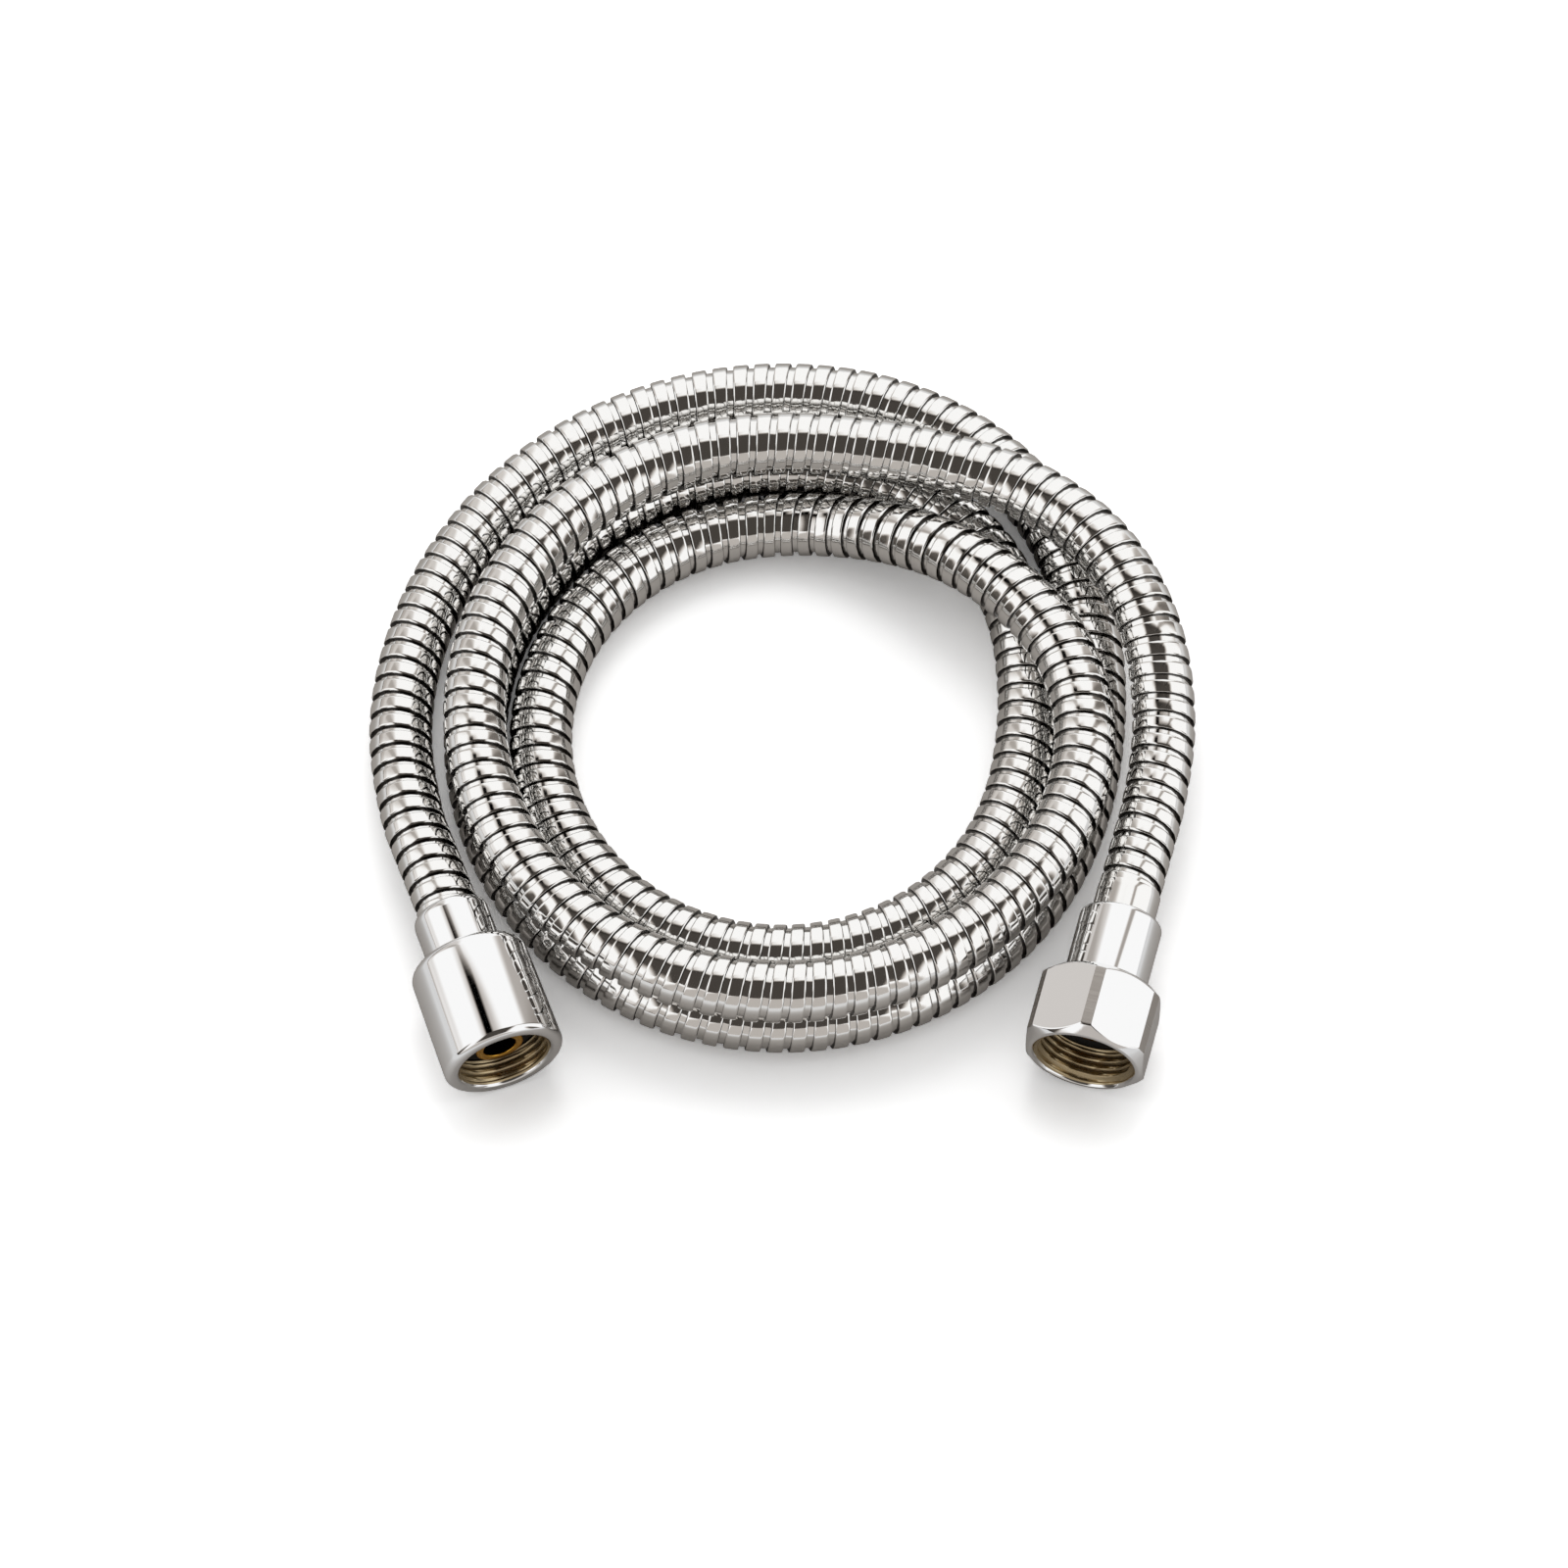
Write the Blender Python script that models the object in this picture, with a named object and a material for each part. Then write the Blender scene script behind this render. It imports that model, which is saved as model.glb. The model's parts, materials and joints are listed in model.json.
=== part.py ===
"""Water connecting hose: a coiled flexible metal hose with a round and a hexagonal swivel nut.

The hose lies on a floor in three and a half turns. Its armour is a wound steel strip around
a rubber tube. Each end is crimped in a sleeve on a brass nozzle, whose flange holds a swivel
nut with a rubber washer. Lengths are in metres, +Z is up, and the floor is at Z = 0.
"""

import math

import bmesh
import bpy
from mathutils import Matrix, Vector

MM = 0.001

# Clearance between pieces that touch or are pressed together
FIT = 0.3 * MM

# Hose section
HOSE_DIAMETER = 10.3 * MM
ARMOUR_WALL = 0.95 * MM
TUBE_WALL = 0.9 * MM
ARMOUR_SIDES = 12
TUBE_SIDES = 8

# Coil, with angles in degrees of travel from the left side over the back
TURN = 360.0
COIL_CENTRE = Vector((0.0, -2.4 * MM))
INNER_TURN_RADIUS = 39.3 * MM
STRAND_GAP = 0.4 * MM
OUTER_TURN_GAP = 1.8 * MM
SWEEP_STEP = 15.0
COIL_START = -18.8
COIL_END = 1274.0

# How far the tracks stray from a circle at the coil's back and at its front
OUTER_BACK_SPREAD = 1.5 * MM
UPPER_BACK_SPREAD = -1.0 * MM
MIDDLE_FRONT_SPREAD = 1.2 * MM

# Where in each turn the hose shifts to the next track, climbs on to the coil and comes down
SHIFT_WINDOWS = ((104.0, 194.0), (104.0, 194.0), (110.0, 200.0), (92.0, 174.0))
RISE_WINDOW = (80.0, 154.0)
FALL_WINDOW = (150.0, 194.0)

# Start of the coil, which lifts towards the round nut, and the share of the lift reached there
ROUND_LIFT_START = 30.0
LIFT_AT_COIL_START = 0.7

# Straight tails to the sleeves: run beyond the coil, and for the round end its share of the lift
ROUND_TAIL = ((5.0 * MM, 0.83), (10.0 * MM, 0.94), (14.6 * MM, 1.0))
HEX_TAIL_RUNS = (7.0 * MM, 14.0 * MM, 21.2 * MM)

# Turned pieces
TURNED_SIDES = 32
THREAD_BORE = 15.0 * MM
SLEEVE_NECK_OVERLAP = 3.0 * MM
WASHER_THICKNESS = 2.4 * MM
FLANGE_THICKNESS = 2.0 * MM

# Nozzle tail and collar
BARB_HEIGHT = 0.3 * MM
BARB_BORE = 3.2 * MM
BARB_LENGTH = 8.0 * MM
BARB_COUNT = 3
COLLAR_DIAMETER = 8.0 * MM
COLLAR_BORE = 5.5 * MM
COLLAR_BORE_DEPTH = 3.0 * MM

# Round end
ROUND_SLEEVE_WALL = 0.8 * MM
ROUND_SLEEVE_SHOWN = 8.8 * MM
ROUND_SLEEVE_NOSE = 1.2 * MM
ROUND_NECK_CLEARANCE = 0.35 * MM
ROUND_NUT_LENGTH = 19.9 * MM
ROUND_NUT_BACK_DIAMETER = 19.6 * MM
ROUND_NUT_MOUTH_DIAMETER = 20.2 * MM
ROUND_NUT_SHOULDER = 2.0 * MM
ROUND_NUT_RIM = 1.2 * MM
ROUND_NUT_LEAD_IN = 0.5 * MM
ROUND_WASHER_DEPTH = 4.8 * MM
ROUND_COLLAR_DEPTH = 2.8 * MM

# Hexagonal end
HEX_SLEEVE_WALL = 1.4 * MM
HEX_SLEEVE_SHOWN = 12.9 * MM
HEX_SLEEVE_NOSE = 0.8 * MM
HEX_NECK_CLEARANCE = 0.45 * MM
HEX_NUT_LENGTH = 13.5 * MM
HEX_ACROSS_FLATS = 19.5 * MM
HEX_CORNER_LAND = 1.75 * MM
HEX_FACE_DIAMETER = 18.4 * MM
HEX_CHAMFER_LENGTH = 1.4 * MM
HEX_NUT_LEAD_IN = 1.0 * MM
HEX_WASHER_DEPTH = 6.3 * MM
HEX_COLLAR_DEPTH = 5.8 * MM

# Sizes that follow from those above
HOSE_RADIUS = HOSE_DIAMETER / 2.0
ARMOUR_BORE_RADIUS = HOSE_RADIUS - ARMOUR_WALL
TUBE_RADIUS = ARMOUR_BORE_RADIUS * math.cos(math.pi / ARMOUR_SIDES) - FIT
TUBE_BORE_RADIUS = TUBE_RADIUS - TUBE_WALL
BARB_RADIUS = TUBE_BORE_RADIUS * math.cos(math.pi / TUBE_SIDES) - FIT
FLOOR_LEVEL = HOSE_RADIUS
UPPER_LEVEL = FLOOR_LEVEL + HOSE_DIAMETER + STRAND_GAP
MIDDLE_TURN_RADIUS = INNER_TURN_RADIUS + HOSE_DIAMETER + STRAND_GAP
OUTER_TURN_RADIUS = MIDDLE_TURN_RADIUS + HOSE_DIAMETER + OUTER_TURN_GAP
SLEEVE_BORE_RADIUS = HOSE_RADIUS + FIT
ROUND_SLEEVE_RADIUS = SLEEVE_BORE_RADIUS + ROUND_SLEEVE_WALL
ROUND_NECK_RADIUS = SLEEVE_BORE_RADIUS - ROUND_NECK_CLEARANCE
HEX_SLEEVE_RADIUS = SLEEVE_BORE_RADIUS + HEX_SLEEVE_WALL
HEX_NECK_RADIUS = SLEEVE_BORE_RADIUS - HEX_NECK_CLEARANCE
HEX_CORNER_REACH = HEX_ACROSS_FLATS / math.sqrt(3.0) - HEX_CORNER_LAND / (2.0 * math.sqrt(3.0))
NUT_STACK = WASHER_THICKNESS + FIT + FLANGE_THICKNESS + FIT
ROUND_LIFT = ROUND_NUT_MOUTH_DIAMETER / 2.0 - FLOOR_LEVEL
HEX_LIFT = HEX_CORNER_REACH - FLOOR_LEVEL


def ease(value, window):
    """Return the share, from 0 to 1, that a smooth change has made as value crosses window."""
    share = (value - window[0]) / (window[1] - window[0])
    share = min(max(share, 0.0), 1.0)
    if share < 0.5:
        return 2.0 * share * share
    return 1.0 - 2.0 * (1.0 - share) * (1.0 - share)


def coil_radius(sweep):
    """Return the centre line's distance from the coil's axis: it shifts once in each turn."""
    front_or_back = math.sin(math.radians(sweep))
    back = max(front_or_back, 0.0) ** 2
    front = min(front_or_back, 0.0) ** 2
    outer = OUTER_TURN_RADIUS + OUTER_BACK_SPREAD * back
    middle = MIDDLE_TURN_RADIUS + MIDDLE_FRONT_SPREAD * front
    upper = middle + UPPER_BACK_SPREAD * back
    tracks = (outer, middle, INNER_TURN_RADIUS, upper, outer)
    radius = tracks[0]
    for turn, window in enumerate(SHIFT_WINDOWS):
        radius += (tracks[turn + 1] - tracks[turn]) * ease(sweep - TURN * turn, window)
    return radius


def coil_height(sweep):
    """Return the centre line's height: the fourth turn lies on the second, then comes down."""
    rise = ease(sweep - 2.0 * TURN, RISE_WINDOW)
    fall = ease(sweep - 3.0 * TURN, FALL_WINDOW)
    height = FLOOR_LEVEL + (UPPER_LEVEL - FLOOR_LEVEL) * rise
    height += (FLOOR_LEVEL + HEX_LIFT - UPPER_LEVEL) * fall
    share = min(max((sweep - ROUND_LIFT_START) / (COIL_START - ROUND_LIFT_START), 0.0), 1.0)
    return height + ROUND_LIFT * LIFT_AT_COIL_START * share * share


def coil_point(sweep):
    """Return the centre line's point at a sweep, travelling from the left over the back."""
    angle = math.radians(180.0 - sweep)
    radius = coil_radius(sweep)
    x = COIL_CENTRE.x + radius * math.cos(angle)
    y = COIL_CENTRE.y + radius * math.sin(angle)
    return Vector((x, y, coil_height(sweep)))


def coil_heading(sweep):
    """Return the level direction of travel at a sweep."""
    angle = math.radians(180.0 - sweep)
    return Vector((math.sin(angle), -math.cos(angle), 0.0))


def tail_points(coil_end, heading, tail, lift):
    """Return the points of a straight tail that runs on from the coil."""
    points = []
    for run, share in tail:
        point = coil_end + heading * run
        point.z = FLOOR_LEVEL + lift * share
        points.append(point)
    return points


class Fitting:
    """The place of one hose end: where its sleeve starts, which way it faces, and its stations."""

    def __init__(self, start, heading, sleeve_shown, nut_length, washer_depth):
        self.start = start
        self.heading = heading
        self.nut_back = sleeve_shown
        self.mouth = sleeve_shown + nut_length
        self.washer_face = self.mouth - washer_depth
        self.shoulder = self.washer_face - NUT_STACK
        self.flange_back = self.shoulder + FIT
        self.washer_back = self.washer_face - WASHER_THICKNESS

    def point(self, station):
        """Return the point on the axis at a station, measured from the sleeve's hose end."""
        return self.start + self.heading * station

    def empty(self, name):
        """Add the empty that carries the fitting's pieces, with +Z out of the nut's mouth."""
        up = Vector((0.0, 0.0, 1.0))
        side = up.cross(self.heading)
        rotation = Matrix((side, up, self.heading)).transposed().to_4x4()
        carrier = bpy.data.objects.new(name, None)
        carrier.matrix_world = Matrix.Translation(self.start) @ rotation
        bpy.context.collection.objects.link(carrier)
        return carrier


def material(name, colour, metallic, roughness):
    """Return a Principled material."""
    result = bpy.data.materials.new(name)
    result.use_nodes = True
    shader = result.node_tree.nodes["Principled BSDF"]
    shader.inputs["Base Color"].default_value = (*colour, 1.0)
    shader.inputs["Metallic"].default_value = metallic
    shader.inputs["Roughness"].default_value = roughness
    return result


def ring(centre, side, up, radius, sides):
    """Return one closed ring of points, with one of them straight up from the centre."""
    points = []
    for index in range(sides):
        angle = 2.0 * math.pi * index / sides
        points.append(centre + radius * (math.sin(angle) * side + math.cos(angle) * up))
    return points


def hollow_skin(name, rings, surface, parent=None):
    """Add a through-bored solid: a skin over rings of points, whose last ring meets the first."""
    mesh_build = bmesh.new()
    rows = [[mesh_build.verts.new(point) for point in points] for points in rings]
    sides = len(rows[0])
    for index, row in enumerate(rows):
        following = rows[(index + 1) % len(rows)]
        for side in range(sides):
            beside = (side + 1) % sides
            mesh_build.faces.new((row[side], row[beside], following[beside], following[side]))
    bmesh.ops.recalc_face_normals(mesh_build, faces=mesh_build.faces)
    mesh = bpy.data.meshes.new(name)
    mesh_build.to_mesh(mesh)
    mesh_build.free()
    mesh.shade_smooth()
    mesh.set_sharp_from_angle(angle=math.radians(35.0))
    mesh.materials.append(surface)
    solid = bpy.data.objects.new(name, mesh)
    solid.parent = parent
    bpy.context.collection.objects.link(solid)
    return solid


def swept_tube(name, route, outer_radius, inner_radius, sides, surface):
    """Add an open-ended tube along a route of points."""
    outer = []
    inner = []
    for index, centre in enumerate(route):
        before = centre - route[index - 1] if index > 0 else route[1] - centre
        after = route[index + 1] - centre if index < len(route) - 1 else before
        along = (before.normalized() + after.normalized()).normalized()
        side = along.cross(Vector((0.0, 0.0, 1.0))).normalized()
        up = side.cross(along)
        outer.append(ring(centre, side, up, outer_radius, sides))
        inner.append(ring(centre, side, up, inner_radius, sides))
    return hollow_skin(name, outer + inner[::-1], surface)


def turned(name, profile, surface, parent):
    """Add a turned piece from a closed profile of (radius, station) points."""
    side = Vector((1.0, 0.0, 0.0))
    up = Vector((0.0, 1.0, 0.0))
    rings = []
    for radius, station in profile:
        rings.append(ring(Vector((0.0, 0.0, station)), side, up, radius, TURNED_SIDES))
    return hollow_skin(name, rings, surface, parent)


def arc(centre, radii, start, end, steps):
    """Return profile points of an elliptical corner, from one angle in degrees to another."""
    points = []
    for index in range(steps + 1):
        angle = math.radians(start + (end - start) * index / steps)
        radius = centre[0] + radii[0] * math.cos(angle)
        station = centre[1] + radii[1] * math.sin(angle)
        points.append((radius, station))
    return points


def add_sleeve(name, outer_radius, nose, length, surface, parent):
    """Add a crimp sleeve with a rounded nose at its hose end."""
    wall = outer_radius - SLEEVE_BORE_RADIUS
    corner = 0.85 * wall
    profile = [(SLEEVE_BORE_RADIUS, 0.0)]
    profile += arc((outer_radius - corner, nose), (corner, nose), -90.0, 0.0, 4)
    profile += [(outer_radius, length), (SLEEVE_BORE_RADIUS, length)]
    return turned(name, profile, surface, parent)


def add_nozzle(name, fitting, hose_end, neck_radius, collar_depth, surface, parent):
    """Add a nozzle: barbed tail in the hose, neck in the sleeve, flange and collar in the nut."""
    neck_back = hose_end + FIT
    collar_face = fitting.mouth - collar_depth
    flange_face = fitting.flange_back + FLANGE_THICKNESS
    flange_radius = THREAD_BORE / 2.0 - FIT
    root_radius = BARB_RADIUS - BARB_HEIGHT
    barb_pitch = BARB_LENGTH / BARB_COUNT
    bore_radius = BARB_BORE / 2.0
    collar_bore_radius = COLLAR_BORE / 2.0
    profile = []
    for index in range(BARB_COUNT):
        barb_start = hose_end - BARB_LENGTH + barb_pitch * index
        profile.append((root_radius, barb_start))
        profile.append((BARB_RADIUS, barb_start + 0.8 * barb_pitch))
    profile += [
        (root_radius, hose_end),
        (root_radius, neck_back),
        (neck_radius, neck_back),
        (neck_radius, fitting.flange_back),
        (flange_radius, fitting.flange_back),
        (flange_radius, flange_face),
        (COLLAR_DIAMETER / 2.0, flange_face),
        (COLLAR_DIAMETER / 2.0, collar_face),
        (collar_bore_radius, collar_face),
        (collar_bore_radius, collar_face - COLLAR_BORE_DEPTH),
        (bore_radius, collar_face - COLLAR_BORE_DEPTH - (collar_bore_radius - bore_radius)),
        (bore_radius, hose_end - BARB_LENGTH),
    ]
    return turned(name, profile, surface, parent)


def add_washer(name, fitting, surface, parent):
    """Add the flat washer that seals against the flange inside a nut."""
    inner_radius = COLLAR_DIAMETER / 2.0 + FIT
    outer_radius = THREAD_BORE / 2.0 - FIT
    profile = [
        (inner_radius, fitting.washer_back),
        (outer_radius, fitting.washer_back),
        (outer_radius, fitting.washer_face),
        (inner_radius, fitting.washer_face),
    ]
    return turned(name, profile, surface, parent)


def nut_bore(fitting, lead_in, hole_radius):
    """Return a nut's inner profile, from its mouth back to its hole for the sleeve or neck."""
    thread_radius = THREAD_BORE / 2.0
    return [
        (thread_radius + lead_in, fitting.mouth),
        (thread_radius, fitting.mouth - lead_in),
        (thread_radius, fitting.shoulder),
        (hole_radius, fitting.shoulder),
        (hole_radius, fitting.nut_back),
    ]


def add_round_nut(fitting, surface, parent):
    """Add the round nut: a slightly tapered sleeve with a rounded shoulder and rim."""
    back_radius = ROUND_NUT_BACK_DIAMETER / 2.0
    mouth_radius = ROUND_NUT_MOUTH_DIAMETER / 2.0
    shoulder = ROUND_NUT_SHOULDER
    rim = ROUND_NUT_RIM
    profile = arc(
        (back_radius - shoulder, fitting.nut_back + shoulder), (shoulder, shoulder), -90.0, 0.0, 5
    )
    profile += arc((mouth_radius - rim, fitting.mouth - rim), (rim, rim), 0.0, 90.0, 5)
    profile += nut_bore(fitting, ROUND_NUT_LEAD_IN, ROUND_SLEEVE_RADIUS + FIT)
    return turned("round_swivel_nut", profile, surface, parent)


def add_hex_cutter(fitting, parent):
    """Add the six-sided bar, its corners cut to narrow lands, that shapes the hexagonal nut."""
    half_land = HEX_CORNER_LAND / 2.0
    outline = []
    for corner in range(6):
        angle = math.radians(90.0 - 60.0 * corner)
        outward = Vector((math.cos(angle), math.sin(angle), 0.0))
        along = Vector((-math.sin(angle), math.cos(angle), 0.0))
        outline.append(HEX_CORNER_REACH * outward + half_land * along)
        outline.append(HEX_CORNER_REACH * outward - half_land * along)
    spare = HEX_NUT_LENGTH / 10.0
    low = Vector((0.0, 0.0, fitting.nut_back - spare))
    high = Vector((0.0, 0.0, fitting.mouth + spare))
    mesh_build = bmesh.new()
    bottom = [mesh_build.verts.new(low + point) for point in outline]
    top = [mesh_build.verts.new(high + point) for point in outline]
    mesh_build.faces.new(bottom)
    mesh_build.faces.new(top)
    for index in range(len(outline)):
        beside = (index + 1) % len(outline)
        mesh_build.faces.new((bottom[index], bottom[beside], top[beside], top[index]))
    bmesh.ops.recalc_face_normals(mesh_build, faces=mesh_build.faces)
    mesh = bpy.data.meshes.new("hex_bar")
    mesh_build.to_mesh(mesh)
    mesh_build.free()
    cutter = bpy.data.objects.new("hex_bar", mesh)
    cutter.parent = parent
    cutter.hide_render = True
    cutter.display_type = "WIRE"
    bpy.context.collection.objects.link(cutter)
    return cutter


def add_hex_nut(fitting, surface, parent):
    """Add the hexagonal nut: a chamfered turned blank kept where it lies in a six-sided bar."""
    blank_radius = HEX_CORNER_REACH + FIT
    face_radius = HEX_FACE_DIAMETER / 2.0
    chamfer_slope = HEX_CHAMFER_LENGTH / (HEX_CORNER_REACH - face_radius)
    chamfer = chamfer_slope * (blank_radius - face_radius)
    profile = [
        (face_radius, fitting.nut_back),
        (blank_radius, fitting.nut_back + chamfer),
        (blank_radius, fitting.mouth - chamfer),
        (face_radius, fitting.mouth),
    ]
    profile += nut_bore(fitting, HEX_NUT_LEAD_IN, HEX_NECK_RADIUS + FIT)
    nut = turned("hex_swivel_nut", profile, surface, parent)
    cut = nut.modifiers.new("hexagon", "BOOLEAN")
    cut.operation = "INTERSECT"
    cut.solver = "EXACT"
    cut.object = add_hex_cutter(fitting, parent)
    return nut


def coil_sweeps():
    """Return the sweeps of the coil's stations, which line up from turn to turn."""
    first = math.floor(COIL_START / SWEEP_STEP) + 1
    last = math.ceil(COIL_END / SWEEP_STEP)
    inside = [SWEEP_STEP * index for index in range(first, last)]
    return [COIL_START, *inside, COIL_END]


def build_hose():
    """Add every piece of the hose."""
    for leftover in list(bpy.data.objects):
        bpy.data.objects.remove(leftover)

    chrome = material("polished_chrome", (0.80, 0.80, 0.81), 1.0, 0.08)
    steel = material("polished_steel_strip", (0.72, 0.72, 0.72), 1.0, 0.14)
    brass = material("turned_brass", (0.72, 0.52, 0.22), 1.0, 0.28)
    rubber = material("black_rubber", (0.02, 0.02, 0.02), 0.0, 0.6)
    liner = material("grey_rubber_tube", (0.10, 0.10, 0.10), 0.0, 0.5)

    coil = [coil_point(sweep) for sweep in coil_sweeps()]
    round_heading = -coil_heading(COIL_START)
    hex_heading = coil_heading(COIL_END)
    round_tail = tail_points(coil[0], round_heading, ROUND_TAIL, ROUND_LIFT)
    level_tail = [(run, 1.0) for run in HEX_TAIL_RUNS]
    hex_tail = tail_points(coil[-1], hex_heading, level_tail, HEX_LIFT)

    round_end = Fitting(
        round_tail[-1], round_heading, ROUND_SLEEVE_SHOWN, ROUND_NUT_LENGTH, ROUND_WASHER_DEPTH
    )
    hex_end = Fitting(
        hex_tail[-1], hex_heading, HEX_SLEEVE_SHOWN, HEX_NUT_LENGTH, HEX_WASHER_DEPTH
    )
    round_sleeve_end = round_end.shoulder
    hex_sleeve_end = hex_end.nut_back - FIT
    round_hose_end = round_sleeve_end - SLEEVE_NECK_OVERLAP
    hex_hose_end = hex_sleeve_end - SLEEVE_NECK_OVERLAP

    route = [round_end.point(round_hose_end), *round_tail[::-1], *coil]
    route += [*hex_tail, hex_end.point(hex_hose_end)]
    swept_tube("hose_armour", route, HOSE_RADIUS, ARMOUR_BORE_RADIUS, ARMOUR_SIDES, steel)
    swept_tube("inner_tube", route, TUBE_RADIUS, TUBE_BORE_RADIUS, TUBE_SIDES, liner)

    carrier = round_end.empty("round_fitting")
    add_sleeve(
        "round_end_sleeve", ROUND_SLEEVE_RADIUS, ROUND_SLEEVE_NOSE, round_sleeve_end, chrome, carrier
    )
    add_nozzle(
        "round_end_nozzle", round_end, round_hose_end, ROUND_NECK_RADIUS,
        ROUND_COLLAR_DEPTH, brass, carrier,
    )
    add_washer("round_end_washer", round_end, rubber, carrier)
    add_round_nut(round_end, chrome, carrier)

    carrier = hex_end.empty("hex_fitting")
    add_sleeve(
        "hex_end_sleeve", HEX_SLEEVE_RADIUS, HEX_SLEEVE_NOSE, hex_sleeve_end, chrome, carrier
    )
    add_nozzle(
        "hex_end_nozzle", hex_end, hex_hose_end, HEX_NECK_RADIUS,
        HEX_COLLAR_DEPTH, brass, carrier,
    )
    add_washer("hex_end_washer", hex_end, rubber, carrier)
    add_hex_nut(hex_end, chrome, carrier)


build_hose()
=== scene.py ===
"""Looks of a water connecting hose: a coiled metal hose with a round and a hexagonal swivel nut.

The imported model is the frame, and every piece here takes its place from it. Lengths are in
metres, +Z is up and the floor is at Z = 0. Sizes of the pieces are written in millimetres.
"""

import json
import logging
import math
from collections.abc import Sequence
from dataclasses import dataclass, field
from enum import Enum

import bpy
import numpy as np
from mathutils import Matrix, Vector


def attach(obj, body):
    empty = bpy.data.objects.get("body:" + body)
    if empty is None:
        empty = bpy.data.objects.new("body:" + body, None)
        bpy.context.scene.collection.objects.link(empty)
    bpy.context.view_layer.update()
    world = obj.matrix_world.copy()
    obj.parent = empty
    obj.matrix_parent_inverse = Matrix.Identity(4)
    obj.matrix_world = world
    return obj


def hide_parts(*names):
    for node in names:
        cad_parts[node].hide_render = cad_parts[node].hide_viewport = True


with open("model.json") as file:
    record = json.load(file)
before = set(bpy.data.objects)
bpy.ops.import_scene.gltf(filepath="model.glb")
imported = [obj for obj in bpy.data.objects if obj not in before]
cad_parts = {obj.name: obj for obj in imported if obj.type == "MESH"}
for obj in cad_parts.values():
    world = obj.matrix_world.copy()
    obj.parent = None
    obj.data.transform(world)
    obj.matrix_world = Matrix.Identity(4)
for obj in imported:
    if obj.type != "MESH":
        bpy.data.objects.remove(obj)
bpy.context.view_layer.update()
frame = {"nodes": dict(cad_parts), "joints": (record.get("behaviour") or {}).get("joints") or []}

LOG = logging.getLogger("hose")

MM = 0.001
UP = Vector((0.0, 0.0, 1.0))

Profile = list[tuple[float, float]]


class Body(Enum):
    """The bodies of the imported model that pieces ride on."""

    HOSE = "hose"
    ROUND_NUT = "round_nut"
    HEX_NUT = "hex_nut"


class Slot(Enum):
    """The record's material slots."""

    STRIP = "polished_steel_strip"
    CHROME = "polished_chrome"
    BRASS = "turned_brass"
    RUBBER = "black_rubber"
    TUBE = "rubber_tube"


class Grain(Enum):
    """Where the fine lines of a finish run."""

    ALONG_STRIP = "along the wound strip"
    AROUND_AXIS = "around the turning axis"


def linear(code: str) -> tuple[float, float, float, float]:
    """Turn an sRGB hex colour into linear light.

    Args:
        code: The colour as "#RRGGBB".

    Returns:
        Red, green, blue and a full alpha.
    """
    shades = []
    for start in (1, 3, 5):
        value = int(code[start:start + 2], 16) / 255.0
        shades.append(value / 12.92 if value <= 0.04045 else ((value + 0.055) / 1.055) ** 2.4)
    return (shades[0], shades[1], shades[2], 1.0)


def add_node(
    tree: bpy.types.NodeTree,
    kind: str,
    settings: dict[str | int, object] | None = None,
    links: dict[str | int, bpy.types.NodeSocket] | None = None,
) -> bpy.types.Node:
    """Add a node with its settings and links.

    Args:
        tree: The node tree that gets the node.
        kind: The node's Blender type.
        settings: Values of its inputs, by name or number, and of its properties.
        links: Sockets that feed its inputs, by the inputs' names or numbers.

    Returns:
        The new node.
    """
    node = tree.nodes.new(kind)
    for key, value in (settings or {}).items():
        if isinstance(key, int) or key in node.inputs:
            node.inputs[key].default_value = value
        else:
            setattr(node, key, value)
    for key, socket in (links or {}).items():
        tree.links.new(socket, node.inputs[key])
    return node


def new_material(name: str) -> tuple[bpy.types.Material, bpy.types.Node]:
    """Add a material.

    Args:
        name: The material's name.

    Returns:
        The material and its Principled shader.
    """
    material = bpy.data.materials.new(name)
    material.use_nodes = True
    return material, material.node_tree.nodes["Principled BSDF"]


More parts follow.
